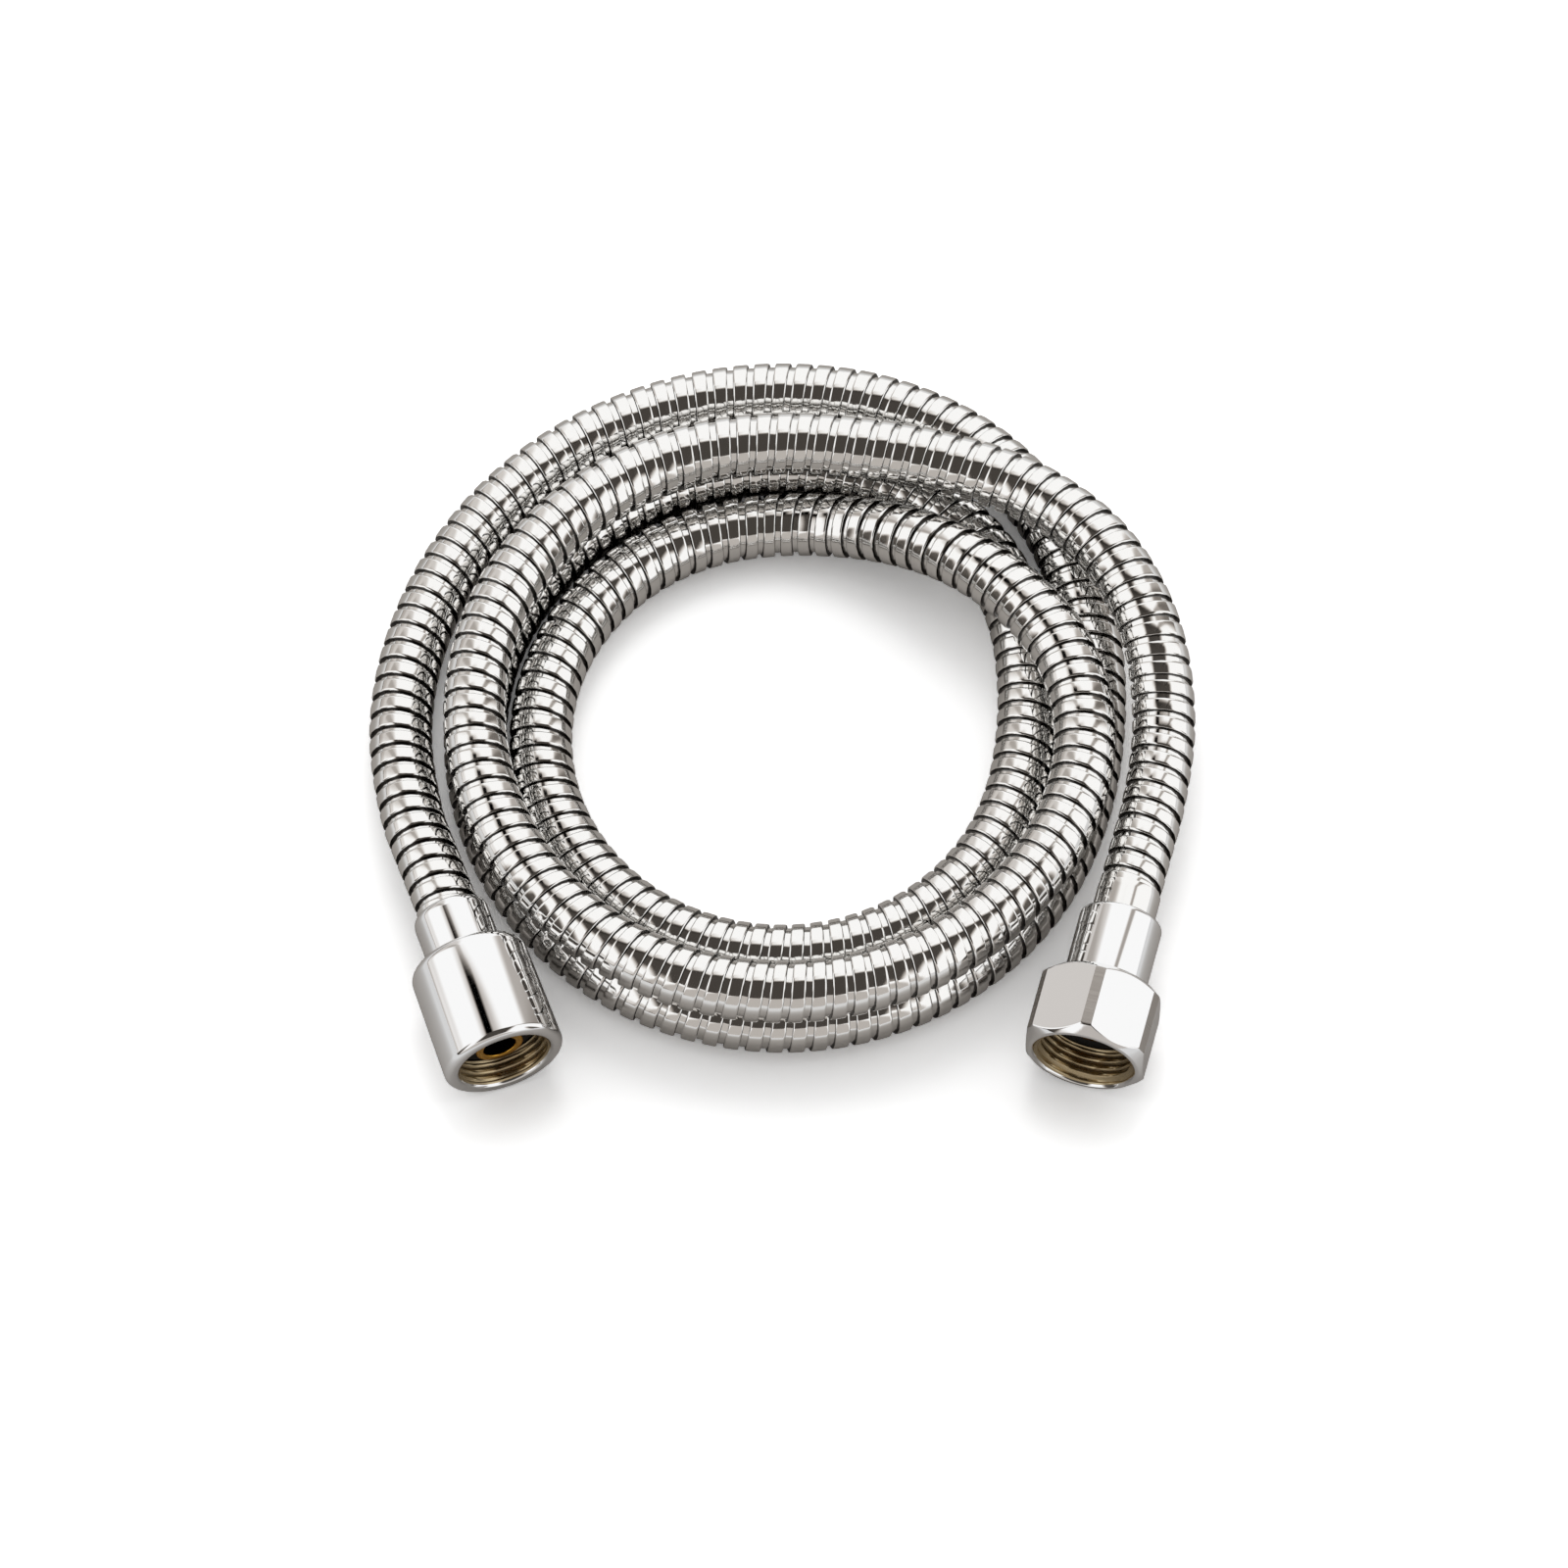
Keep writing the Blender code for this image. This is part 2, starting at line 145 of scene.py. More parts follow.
@dataclass(frozen=True)
class MetalFinish:
    """A metal surface with fine lines left by the way it was made.

    Attributes:
        name: The metal and its process.
        colour: The tint of its reflection, as sRGB hex.
        roughness: How much it blurs a reflection.
        line_mm: The spacing of its fine lines.
        line_depth_mm: The depth of those lines.
        line_roughness: How far the lines change the roughness.
        grain: Where the lines run.
    """

    name: str
    colour: str
    roughness: float
    line_mm: float
    line_depth_mm: float
    line_roughness: float
    grain: Grain

    def lines(self, tree: bpy.types.NodeTree) -> bpy.types.NodeSocket:
        """Draw the fine lines.

        Args:
            tree: The material's nodes.

        Returns:
            A socket with a noise that is stretched along the lines.
        """
        if self.grain is Grain.ALONG_STRIP:
            place = add_node(tree, "ShaderNodeUVMap", {"uv_map": "strip"})
            parts = add_node(tree, "ShaderNodeSeparateXYZ", links={0: place.outputs["UV"]})
            along, across = parts.outputs["X"], parts.outputs["Y"]
            stretch = 0.02
        else:
            place = add_node(tree, "ShaderNodeTexCoord")
            parts = add_node(tree, "ShaderNodeSeparateXYZ", links={0: place.outputs["Object"]})
            reach = add_node(
                tree, "ShaderNodeCombineXYZ", links={0: parts.outputs["X"], 1: parts.outputs["Y"]}
            )
            radius = add_node(tree, "ShaderNodeVectorMath", {"operation": "LENGTH"},
                              {0: reach.outputs[0]})
            turn = add_node(tree, "ShaderNodeMath", {"operation": "ARCTAN2"},
                            {0: parts.outputs["Y"], 1: parts.outputs["X"]})
            total = add_node(tree, "ShaderNodeMath", {"operation": "ADD"},
                             {0: radius.outputs["Value"], 1: parts.outputs["Z"]})
            wide = add_node(tree, "ShaderNodeMath", {"operation": "MULTIPLY", 1: 1.0 / MM},
                            {0: total.outputs[0]})
            along, across = turn.outputs[0], wide.outputs[0]
            stretch = 0.3 * self.line_mm
        spot = add_node(tree, "ShaderNodeCombineXYZ", links={0: along, 1: across})
        scaled = add_node(
            tree, "ShaderNodeVectorMath",
            {"operation": "MULTIPLY", 1: (stretch / self.line_mm, 1.0 / self.line_mm, 1.0)},
            {0: spot.outputs[0]},
        )
        noise = add_node(
            tree, "ShaderNodeTexNoise",
            {"noise_dimensions": "2D", "Scale": 1.0, "Detail": 2.0},
            {"Vector": scaled.outputs[0]},
        )
        return noise.outputs["Fac"]

    def material(self) -> bpy.types.Material:
        """Build the finish.

        Returns:
            The material.
        """
        material, shader = new_material(self.name)
        tree = material.node_tree
        shader.inputs["Base Color"].default_value = linear(self.colour)
        shader.inputs["Metallic"].default_value = 1.0
        lines = self.lines(tree)
        gloss = add_node(
            tree, "ShaderNodeMapRange",
            {"From Min": 0.3, "From Max": 0.7,
             "To Min": max(self.roughness - self.line_roughness, 0.0),
             "To Max": self.roughness + self.line_roughness},
            {"Value": lines},
        )
        bump = add_node(
            tree, "ShaderNodeBump", {"Strength": 1.0, "Distance": self.line_depth_mm * MM},
            {"Height": lines},
        )
        tree.links.new(gloss.outputs["Result"], shader.inputs["Roughness"])
        tree.links.new(bump.outputs["Normal"], shader.inputs["Normal"])
        return material


@dataclass(frozen=True)
class RubberFinish:
    """A rubber surface with the fine pitting of its mould or die.

    Attributes:
        name: The rubber and its process.
        colour: Its colour, as sRGB hex.
        roughness: How dull it is.
        pit_mm: The width of the pits.
        pit_depth_mm: The depth of the pits.
        pit_roughness: How far the pits change the roughness.
    """

    name: str
    colour: str
    roughness: float
    pit_mm: float
    pit_depth_mm: float
    pit_roughness: float = 0.08

    def material(self) -> bpy.types.Material:
        """Build the finish.

        Returns:
            The material.
        """
        material, shader = new_material(self.name)
        tree = material.node_tree
        shader.inputs["Base Color"].default_value = linear(self.colour)
        shader.inputs["IOR"].default_value = 1.52
        place = add_node(tree, "ShaderNodeTexCoord")
        pits = add_node(
            tree, "ShaderNodeTexNoise", {"Scale": 1.0 / (self.pit_mm * MM), "Detail": 3.0},
            {"Vector": place.outputs["Object"]},
        )
        dull = add_node(
            tree, "ShaderNodeMapRange",
            {"To Min": self.roughness - self.pit_roughness,
             "To Max": self.roughness + self.pit_roughness},
            {"Value": pits.outputs["Fac"]},
        )
        bump = add_node(
            tree, "ShaderNodeBump", {"Distance": self.pit_depth_mm * MM},
            {"Height": pits.outputs["Fac"]},
        )
        tree.links.new(dull.outputs["Result"], shader.inputs["Roughness"])
        tree.links.new(bump.outputs["Normal"], shader.inputs["Normal"])
        return material


# Cold-rolled stainless steel strip, polished before it is wound. The eye sees sharp, slightly
# warm reflections with faint rolling lines. Those are finer than the render shows, so they are
# drawn 0.12 mm apart.
STRIP_STEEL = MetalFinish(
    "polished_stainless_strip", "#F7F6F4", 0.07, 0.12, 0.0004, 0.04, Grain.ALONG_STRIP
)

# The same strip on the folds' walls, near-black as painted shade: the dark colour stands in for the
# shade in the narrow gaps, so the eye sees a near-black line between one bright fold and the next.
STRIP_WALL_PAINTED_SHADE = MetalFinish(
    "strip_wall_painted_shade", "#2E2A26", 0.30, 0.12, 0.0004, 0.05, Grain.ALONG_STRIP
)

# Bright chromium on polished brass. The eye sees an almost perfect mirror with a cool tint.
BRIGHT_CHROME = MetalFinish(
    "bright_chromium_plate", "#F8F8F8", 0.045, 0.5, 0.0002, 0.015, Grain.AROUND_AXIS
)

# Chromium over the hexagon's turned corners, which aren't polished. The eye sees a satin grey
# land between two mirror flats.
CORNER_CHROME = MetalFinish(
    "satin_chromium_corner", "#ACA6A0", 0.32, 0.3, 0.001, 0.06, Grain.AROUND_AXIS
)

# Nickel under-plate in the nuts' bores, thin over turned brass, where chromium doesn't reach.
# The eye sees a warm, silky brown-grey with lathe lines.
BORE_NICKEL = MetalFinish(
    "nickel_plated_turned_bore", "#C4B290", 0.28, 0.15, 0.002, 0.08, Grain.AROUND_AXIS
)

# Free-cutting brass, turned and left bare. The eye sees gold with fine rings from the tool.
TURNED_BRASS = MetalFinish(
    "turned_brass_nozzle", "#D9A343", 0.24, 0.2, 0.003, 0.08, Grain.AROUND_AXIS
)

# The same brass down the nozzle's bore, near-black as painted shade: the colour stands in for the
# shade deep in the hole, so the eye sees a black hole.
BORE_PAINTED_SHADE = MetalFinish(
    "brass_bore_painted_shade", "#0D0A07", 0.6, 0.2, 0.003, 0.08, Grain.AROUND_AXIS
)

# Nitrile rubber, compression moulded. The eye sees dull black with the mould's fine pitting.
WASHER_RUBBER = RubberFinish("moulded_nitrile_washer", "#161616", 0.62, 0.18, 0.01)

# Extruded rubber tube. The eye sees an even dark grey with a faint die texture.
TUBE_RUBBER = RubberFinish("extruded_rubber_tube", "#2A2A2A", 0.5, 0.4, 0.02)


def mesh_object(
    name: str,
    points: np.ndarray,
    faces: np.ndarray,
    materials: Sequence[bpy.types.Material],
    sharp_deg: float,
    face_material: np.ndarray | None = None,
) -> bpy.types.Object:
    """Add a mesh of four-sided faces, shaded smooth except at sharp edges.

    Args:
        name: The piece's name.
        points: Corners, one row of three numbers each.
        faces: Four corner numbers for each face.
        materials: The piece's materials.
        sharp_deg: Edges that turn by more than this stay sharp.
        face_material: The number of each face's material, if there are several.

    Returns:
        The new object.
    """
    mesh = bpy.data.meshes.new(name)
    mesh.vertices.add(len(points))
    mesh.vertices.foreach_set("co", points.astype(np.float32).ravel())
    mesh.loops.add(faces.size)
    mesh.loops.foreach_set("vertex_index", faces.astype(np.int32).ravel())
    mesh.polygons.add(len(faces))
    mesh.polygons.foreach_set("loop_start", np.arange(0, faces.size, 4, dtype=np.int32))
    for material in materials:
        mesh.materials.append(material)
    if face_material is not None:
        mesh.polygons.foreach_set("material_index", face_material.astype(np.int32))
    mesh.update(calc_edges=True)
    mesh.shade_smooth()
    mesh.set_sharp_from_angle(angle=math.radians(sharp_deg))
    piece = bpy.data.objects.new(name, mesh)
    bpy.context.scene.collection.objects.link(piece)
    return piece


def ring_faces(rows: int, columns: int) -> np.ndarray:
    """Number the faces of a skin that closes both ways.

    Args:
        rows: How many rings there are, the last of which meets the first.
        columns: How many points each ring has.

    Returns:
        Four corner numbers for each face, ring by ring.
    """
    row, column = np.meshgrid(np.arange(rows), np.arange(columns), indexing="ij")
    below = (row + 1) % rows
    beside = (column + 1) % columns
    corners = [row * columns + column, below * columns + column,
               below * columns + beside, row * columns + beside]
    return np.stack([corner.ravel() for corner in corners], axis=1)


def rounded(
    centre: tuple[float, float], radius: float, start: float, end: float, steps: int = 6
) -> Profile:
    """Draw a rounded corner of a turned profile.

    Args:
        centre: The corner's centre as radius and station.
        radius: The corner's own radius.
        start: Where it starts, in degrees from straight outwards.
        end: Where it ends.
        steps: How many pieces it is drawn with.

    Returns:
        Points as radius and station.
    """
    points = []
    for index in range(steps + 1):
        angle = math.radians(start + (end - start) * index / steps)
        points.append((centre[0] + radius * math.cos(angle), centre[1] + radius * math.sin(angle)))
    return points


@dataclass
class HoseRoute:
    """The hose's centre line, as the solids have it, in millimetres.

    The sweep is the travel round the coil in degrees, from the left side over the back.
    """

    hose_diameter: float = 10.3
    coil_centre: tuple[float, float] = (0.0, -2.4)
    inner_turn: float = 39.3
    strand_gap: float = 0.4
    outer_gap: float = 1.8
    outer_back_spread: float = 1.5
    upper_back_spread: float = -1.0
    middle_front_spread: float = 1.2
    sweep_step: float = 15.0
    sweep_start: float = -18.8
    sweep_end: float = 1274.0
    shift_windows: tuple[tuple[float, float], ...] = (
        (104.0, 194.0), (104.0, 194.0), (110.0, 200.0), (92.0, 174.0)
    )
    rise_window: tuple[float, float] = (80.0, 154.0)
    fall_window: tuple[float, float] = (150.0, 194.0)
    round_lift_start: float = 30.0
    lift_at_coil_start: float = 0.7
    round_lift: float = 4.95
    hex_lift: float = 5.60315
    round_tail: tuple[tuple[float, float], ...] = ((5.0, 0.83), (10.0, 0.94), (14.6, 1.0))
    hex_tail: tuple[tuple[float, float], ...] = ((7.0, 1.0), (14.0, 1.0), (21.2, 1.0))
    round_run_in: float = 15.9
    hex_run_in: float = 9.6
    fine_step: float = 0.25
    line: np.ndarray = field(init=False)
    stations: np.ndarray = field(init=False)
    round_nose: float = field(init=False)
    hex_nose: float = field(init=False)

    def __post_init__(self) -> None:
        """Work out the fine centre line and how far along it each point lies."""
        self.line = self.smooth(np.array(self.route()))
        runs = np.linalg.norm(np.diff(self.line, axis=0), axis=1)
        self.stations = np.concatenate([[0.0], np.cumsum(runs)])
        self.round_nose = self.round_run_in
        self.hex_nose = float(self.stations[-1]) - self.hex_run_in

    @property
    def floor_level(self) -> float:
        """Height of the centre line where the hose lies on the floor."""
        return self.hose_diameter / 2.0

    @staticmethod
    def ease(value: float, window: tuple[float, float]) -> float:
        """Give the share, from 0 to 1, of a smooth change as value crosses a window."""
        share = min(max((value - window[0]) / (window[1] - window[0]), 0.0), 1.0)
        return 2.0 * share * share if share < 0.5 else 1.0 - 2.0 * (1.0 - share) ** 2

    def radius(self, sweep: float) -> float:
        """Give the distance from the coil's axis, which shifts once in each turn."""
        front_or_back = math.sin(math.radians(sweep))
        back = max(front_or_back, 0.0) ** 2
        front = min(front_or_back, 0.0) ** 2
        middle = self.inner_turn + self.hose_diameter + self.strand_gap
        outer = middle + self.hose_diameter + self.outer_gap + self.outer_back_spread * back
        middle += self.middle_front_spread * front
        upper = middle + self.upper_back_spread * back
        tracks = (outer, middle, self.inner_turn, upper, outer)
        radius = tracks[0]
        for turn, window in enumerate(self.shift_windows):
            share = self.ease(sweep - 360.0 * turn, window)
            radius += (tracks[turn + 1] - tracks[turn]) * share
        return radius

    def height(self, sweep: float) -> float:
        """Give the height: the fourth turn lies on the second, then comes down to the nut."""
        step = self.hose_diameter + self.strand_gap
        rise = self.ease(sweep - 720.0, self.rise_window)
        fall = self.ease(sweep - 1080.0, self.fall_window)
        height = self.floor_level + step * rise + (self.hex_lift - step) * fall
        start, end = self.round_lift_start, self.sweep_start
        share = min(max((sweep - start) / (end - start), 0.0), 1.0)
        return height + self.round_lift * self.lift_at_coil_start * share * share

    def point(self, sweep: float) -> np.ndarray:
        """Give the centre line's point at a sweep."""
        angle = math.radians(180.0 - sweep)
        radius = self.radius(sweep)
        x = self.coil_centre[0] + radius * math.cos(angle)
        y = self.coil_centre[1] + radius * math.sin(angle)
        return np.array((x, y, self.height(sweep)))

    def heading(self, sweep: float) -> np.ndarray:
        """Give the level direction of travel at a sweep."""
        angle = math.radians(180.0 - sweep)
        return np.array((math.sin(angle), -math.cos(angle), 0.0))

    def tail(
        self, sweep: float, heading: np.ndarray, tail: Sequence[tuple[float, float]],
        lift: float, run_in: float,
    ) -> list[np.ndarray]:
        """Run straight on from the coil into a sleeve.

        Args:
            sweep: Where the coil ends.
            heading: The level direction outwards.
            tail: Runs beyond the coil, each with its share of the lift.
            lift: How far the fitting's axis lies above the hose's.
            run_in: How far the hose goes into the sleeve.

        Returns:
            The tail's points, outwards.
        """
        points = []
        for run, share in (*tail, (tail[-1][0] + run_in, 1.0)):
            point = self.point(sweep) + heading * run
            point[2] = self.floor_level + lift * share
            points.append(point)
        return points

    def route(self) -> list[np.ndarray]:
        """List the route's own points, from the round end to the hexagonal end."""
        first = math.floor(self.sweep_start / self.sweep_step) + 1
        last = math.ceil(self.sweep_end / self.sweep_step)
        sweeps = [self.sweep_step * index for index in range(first, last)]
        coil = [self.point(sweep) for sweep in (self.sweep_start, *sweeps, self.sweep_end)]
        round_tail = self.tail(
            self.sweep_start, -self.heading(self.sweep_start), self.round_tail,
            self.round_lift, self.round_run_in,
        )
        hex_tail = self.tail(
            self.sweep_end, self.heading(self.sweep_end), self.hex_tail,
            self.hex_lift, self.hex_run_in,
        )
        return [*reversed(round_tail), *coil, *hex_tail]

    def smooth(self, knots: np.ndarray) -> np.ndarray:
        """Draw a smooth curve through the route's points.

        Args:
            knots: The route's points.

        Returns:
            Points about fine_step apart.
        """
        padded = np.vstack([2 * knots[0] - knots[1], knots, 2 * knots[-1] - knots[-2]])
        gaps = np.sqrt(np.linalg.norm(np.diff(padded, axis=0), axis=1))
        pieces = []
        for index in range(len(knots) - 1):
            before, start, end, after = padded[index:index + 4]
            gap_in, gap, gap_out = gaps[index:index + 3]
            slope_in = gap * ((start - before) / gap_in - (end - before) / (gap_in + gap)
                              + (end - start) / gap)
            slope_out = gap * ((end - start) / gap - (after - start) / (gap + gap_out)
                               + (after - end) / gap_out)
            count = max(2, round(float(np.linalg.norm(end - start)) / self.fine_step))
            share = np.linspace(0.0, 1.0, count, endpoint=False)[:, None]
            pieces.append(
                (2 * share**3 - 3 * share**2 + 1) * start + (share**3 - 2 * share**2 + share)
                * slope_in + (3 * share**2 - 2 * share**3) * end + (share**3 - share**2) * slope_out
            )
        pieces.append(knots[-1:])
        return np.vstack(pieces)

    def place(self, stations: np.ndarray, radii: np.ndarray, angles: np.ndarray) -> np.ndarray:
        """Place points round the centre line.

        Args:
            stations: How far along the hose each point lies, in millimetres.
            radii: How far each lies from the centre line.
            angles: How far round it each lies, in radians from the side.

        Returns:
            The points, in metres.
        """
        tangents = np.gradient(self.line, self.stations, axis=0)
        centre, ahead = (
            np.stack([np.interp(stations, self.stations, values[:, k]) for k in range(3)], -1)
            for values in (self.line, tangents)
        )
        ahead /= np.linalg.norm(ahead, axis=-1, keepdims=True)
        side = np.cross(ahead, np.array(UP))
        side /= np.linalg.norm(side, axis=-1, keepdims=True)
        up = np.cross(side, ahead)
        turn = np.cos(angles)[..., None] * side + np.sin(angles)[..., None] * up
        return (centre + radii[..., None] * turn) * MM


@dataclass
class WoundArmour:
    """The steel strip, folded and wound round the tube, as one closed ribbon along a helix.

    Attributes:
        route: The centre line of the hose, whose lengths are in millimetres too.
        pitch: The strip's advance in one turn.
        steps: How many pieces one turn is drawn with.
        crown: Radius over the raised fold.
        edge: Radius at the raised fold's edges, over its walls.
        valley: Radius of the sunk fold.
        inside: Radius of the strip's inner face.
        fold: Width of the raised fold.
        slit: Gap between one turn and the next.
        end_band: Length of the plain band by the hexagonal end's sleeve.
        band_wall: Its thickness.
        band_segments: How many pieces a turn of the band is drawn with.
    """

    route: HoseRoute
    pitch: float = 3.27
    steps: int = 20
    crown: float = 5.15
    edge: float = 5.02
    valley: float = 4.5
    inside: float = 4.4
    fold: float = 2.28
    slit: float = 0.03
    end_band: float = 5.1
    band_wall: float = 0.06
    band_segments: int = 64

    def section(self) -> Profile:
        """Draw the strip's section, as advance along the hose and radius."""
        lip, bend, brow, flat = 0.04, 0.13, 0.27, 0.42
        shoulder = self.crown - 0.055
        near_crown = self.crown - 0.012
        return [
            (self.slit, self.inside),
            (self.slit, self.valley),
            (lip, self.edge),
            (bend, shoulder),
            (brow, near_crown),
            (flat, self.crown),
            (self.fold - flat, self.crown),
            (self.fold - brow, near_crown),
            (self.fold - bend, shoulder),
            (self.fold - lip, self.edge),
            (self.fold, self.valley),
            (self.pitch - self.slit, self.valley),
            (self.pitch - self.slit, self.inside),
        ]

    def build(
        self, material: bpy.types.Material, wall_shade: bpy.types.Material
    ) -> bpy.types.Object:
        """Wind the strip.

        Args:
            material: The finish of the strip's folds.
            wall_shade: The finish of the walls between them, near-black as painted shade.

        Returns:
            The armour.
        """
        section = np.array(self.section())
        length = float(self.route.stations[-1])
        turns = math.floor(length / self.pitch) - 1
        count = turns * self.steps + 1
        spare = (length - (turns + 1) * self.pitch) / 2.0
        step = np.arange(count)[:, None]
        stations = spare + self.pitch * step / self.steps + section[None, :, 0]
        angles = np.broadcast_to(2.0 * math.pi * step / self.steps, stations.shape)
        radii = np.broadcast_to(section[None, :, 1], stations.shape)
        points = self.route.place(stations, radii, angles).reshape(-1, 3)
        width = len(section)
        row, column = np.meshgrid(np.arange(count - 1), np.arange(width), indexing="ij")
        beside = (column + 1) % width
        corners = [row * width + column, row * width + beside,
                   (row + 1) * width + beside, (row + 1) * width + column]
        faces = np.stack([corner.ravel() for corner in corners], axis=1)
        # The walls between the folds, which take the near-black painted shade.
        after = np.roll(section[:, 1], -1)
        wall = (np.minimum(section[:, 1], after) < self.edge) & (section[:, 1] != after)
        numbers = np.tile(wall.astype(np.int32), count - 1)
        first_end = self.end_faces(0, width)
        last_end = self.end_faces(count - 1, width)[:, ::-1]
        faces = np.vstack([faces, first_end, last_end])
        around = 2.0 * math.pi * self.crown * step / self.steps
        strip = np.stack([np.broadcast_to(around, stations.shape),
                          np.broadcast_to(section[None, :, 0], stations.shape)], -1).reshape(-1, 2)
        band_points, band_faces = self.band(len(points))
        strip = np.vstack([strip, np.zeros((len(band_points), 2))])
        points = np.vstack([points, band_points])
        faces = np.vstack([faces, band_faces])
        numbers = np.concatenate([numbers, np.zeros(len(faces) - len(numbers), np.int32)])
        armour = mesh_object("armour_strip", points, faces, [material, wall_shade], 46.0, numbers)
        layer = armour.data.uv_layers.new(name="strip")
        layer.data.foreach_set("uv", strip[faces.ravel()].astype(np.float32).ravel())
        return armour

    @staticmethod
    def end_faces(row: int, width: int) -> np.ndarray:
        """Close one cut end of the strip, up to the last pair of its points.

        Args:
            row: The number of the end's section.
            width: How many points the section has.

        Returns:
            Four-sided faces across the section, which pair its two sides.
        """
        first = row * width
        faces = []
        for index in range(width // 2 - 1):
            faces.append((first + index, first + width - 1 - index,
                          first + width - 2 - index, first + index + 1))
        return np.array(faces)

    def band(self, first: int) -> tuple[np.ndarray, np.ndarray]:
        """Draw the plain band that holds the strip's end by the hexagonal end's sleeve.

        Args:
            first: The number of its first point.

        Returns:
            Its points and faces.
        """
        low = self.crown + 0.01
        high = low + self.band_wall
        start = self.route.hex_nose - self.end_band
        end = self.route.hex_nose + 1.0
        profile = [(low, start), (high - 0.02, start), (high, start + 0.08),
                   *[(high, start + 0.08 + (end - start - 0.08) * k / 6) for k in range(1, 7)],
                   (low, end)]
        rows = np.array(profile)
        angles = np.arange(self.band_segments) * 2.0 * math.pi / self.band_segments
        stations, grid = np.meshgrid(rows[:, 1], angles, indexing="ij")
        radii = np.broadcast_to(rows[:, :1], stations.shape)
        points = self.route.place(stations, radii, grid).reshape(-1, 3)
        return points, ring_faces(len(profile), self.band_segments) + first


@dataclass(frozen=True)
class Fitting:
    """The place of one hose end, with stations in millimetres from its sleeve's hose end.

    Attributes:
        joint: The name of the nut's joint, whose place and axis are the fitting's.
        sleeve_end: Where the sleeve ends.
        hose_end: Where the hose ends.
        nut_back: The nut's back.
        mouth: The nut's mouth.
        washer_depth: From the mouth to the washer's face.
        washer_thickness: The washer's thickness.
        flange_thickness: The thickness of the nozzle's flange.
        gap: The gap between pieces that touch on the real hose.
    """

    joint: str
    sleeve_end: float
    hose_end: float
    nut_back: float
    mouth: float
    washer_depth: float
    washer_thickness: float = 2.4
    flange_thickness: float = 2.0
    gap: float = 0.3

    @property
    def washer_face(self) -> float:
        """Station of the washer's face."""
        return self.mouth - self.washer_depth

    @property
    def washer_back(self) -> float:
        """Station of the washer's back."""
        return self.washer_face - self.washer_thickness

    @property
    def flange_back(self) -> float:
        """Station of the nozzle flange's back."""
        return self.washer_back - self.gap - self.flange_thickness

    @property
    def shoulder(self) -> float:
        """Station of the nut's inner shoulder."""
        return self.flange_back - self.gap

    def matrix(self) -> Matrix:
        """Give the fitting's frame: +Z out of the nut's mouth and +Y up."""
        joint = next(j for j in frame["joints"] if j["name"] == self.joint)
        heading = Vector(joint["axis"]).normalized()
        side = UP.cross(heading)
        rotation = Matrix((side, UP, heading)).transposed().to_4x4()
        return Matrix.Translation(Vector(joint["pos_m"])) @ rotation

    def seat(self, piece: bpy.types.Object, body: Body, slot: Slot, *nodes: str) -> None:
        """Put a piece in its place on its body, and hide the solids that it replaces.

        Args:
            piece: The piece, drawn in the fitting's frame.
            body: The body that it rides on.
            slot: The record's material slot; not used.
            *nodes: The solids that it replaces.
        """
        piece.matrix_world = self.matrix()
        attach(piece, body.value)
        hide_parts(*nodes)
        LOG.info("%s: %d faces", piece.name, len(piece.data.polygons))


@dataclass
class TurnedPiece:
    """A piece turned from a closed profile of radius and station, in millimetres.

    Attributes:
        name: The piece's name.
        profile: Its closed profile.
        segments: How many pieces a turn is drawn with.
        sharp_deg: Edges that turn by more than this stay sharp.
        second_from: The ring from which the second finish is used, if there is one.
    """

    name: str
    profile: Profile
    segments: int = 96
    sharp_deg: float = 32.0
    second_from: int | None = None

    def build(self, *materials: bpy.types.Material) -> bpy.types.Object:
        """Turn the profile.

        Args:
            *materials: The piece's finish, and its second finish if it has one.

        Returns:
            The piece, with its axis along +Z.
        """
        rows = np.array(self.profile)
        angles = np.arange(self.segments) * 2.0 * math.pi / self.segments
        x = rows[:, :1] * np.cos(angles)[None, :]
        y = rows[:, :1] * np.sin(angles)[None, :]
        z = np.broadcast_to(rows[:, 1:2], x.shape)
        points = np.stack([x, y, z], -1).reshape(-1, 3) * MM
        faces = ring_faces(len(rows), self.segments)[:, ::-1]
        numbers = None
        if self.second_from is not None:
            second = np.arange(len(rows)) >= self.second_from
            numbers = np.repeat(second.astype(np.int32), self.segments)
        return mesh_object(self.name, points, faces, materials, self.sharp_deg, numbers)


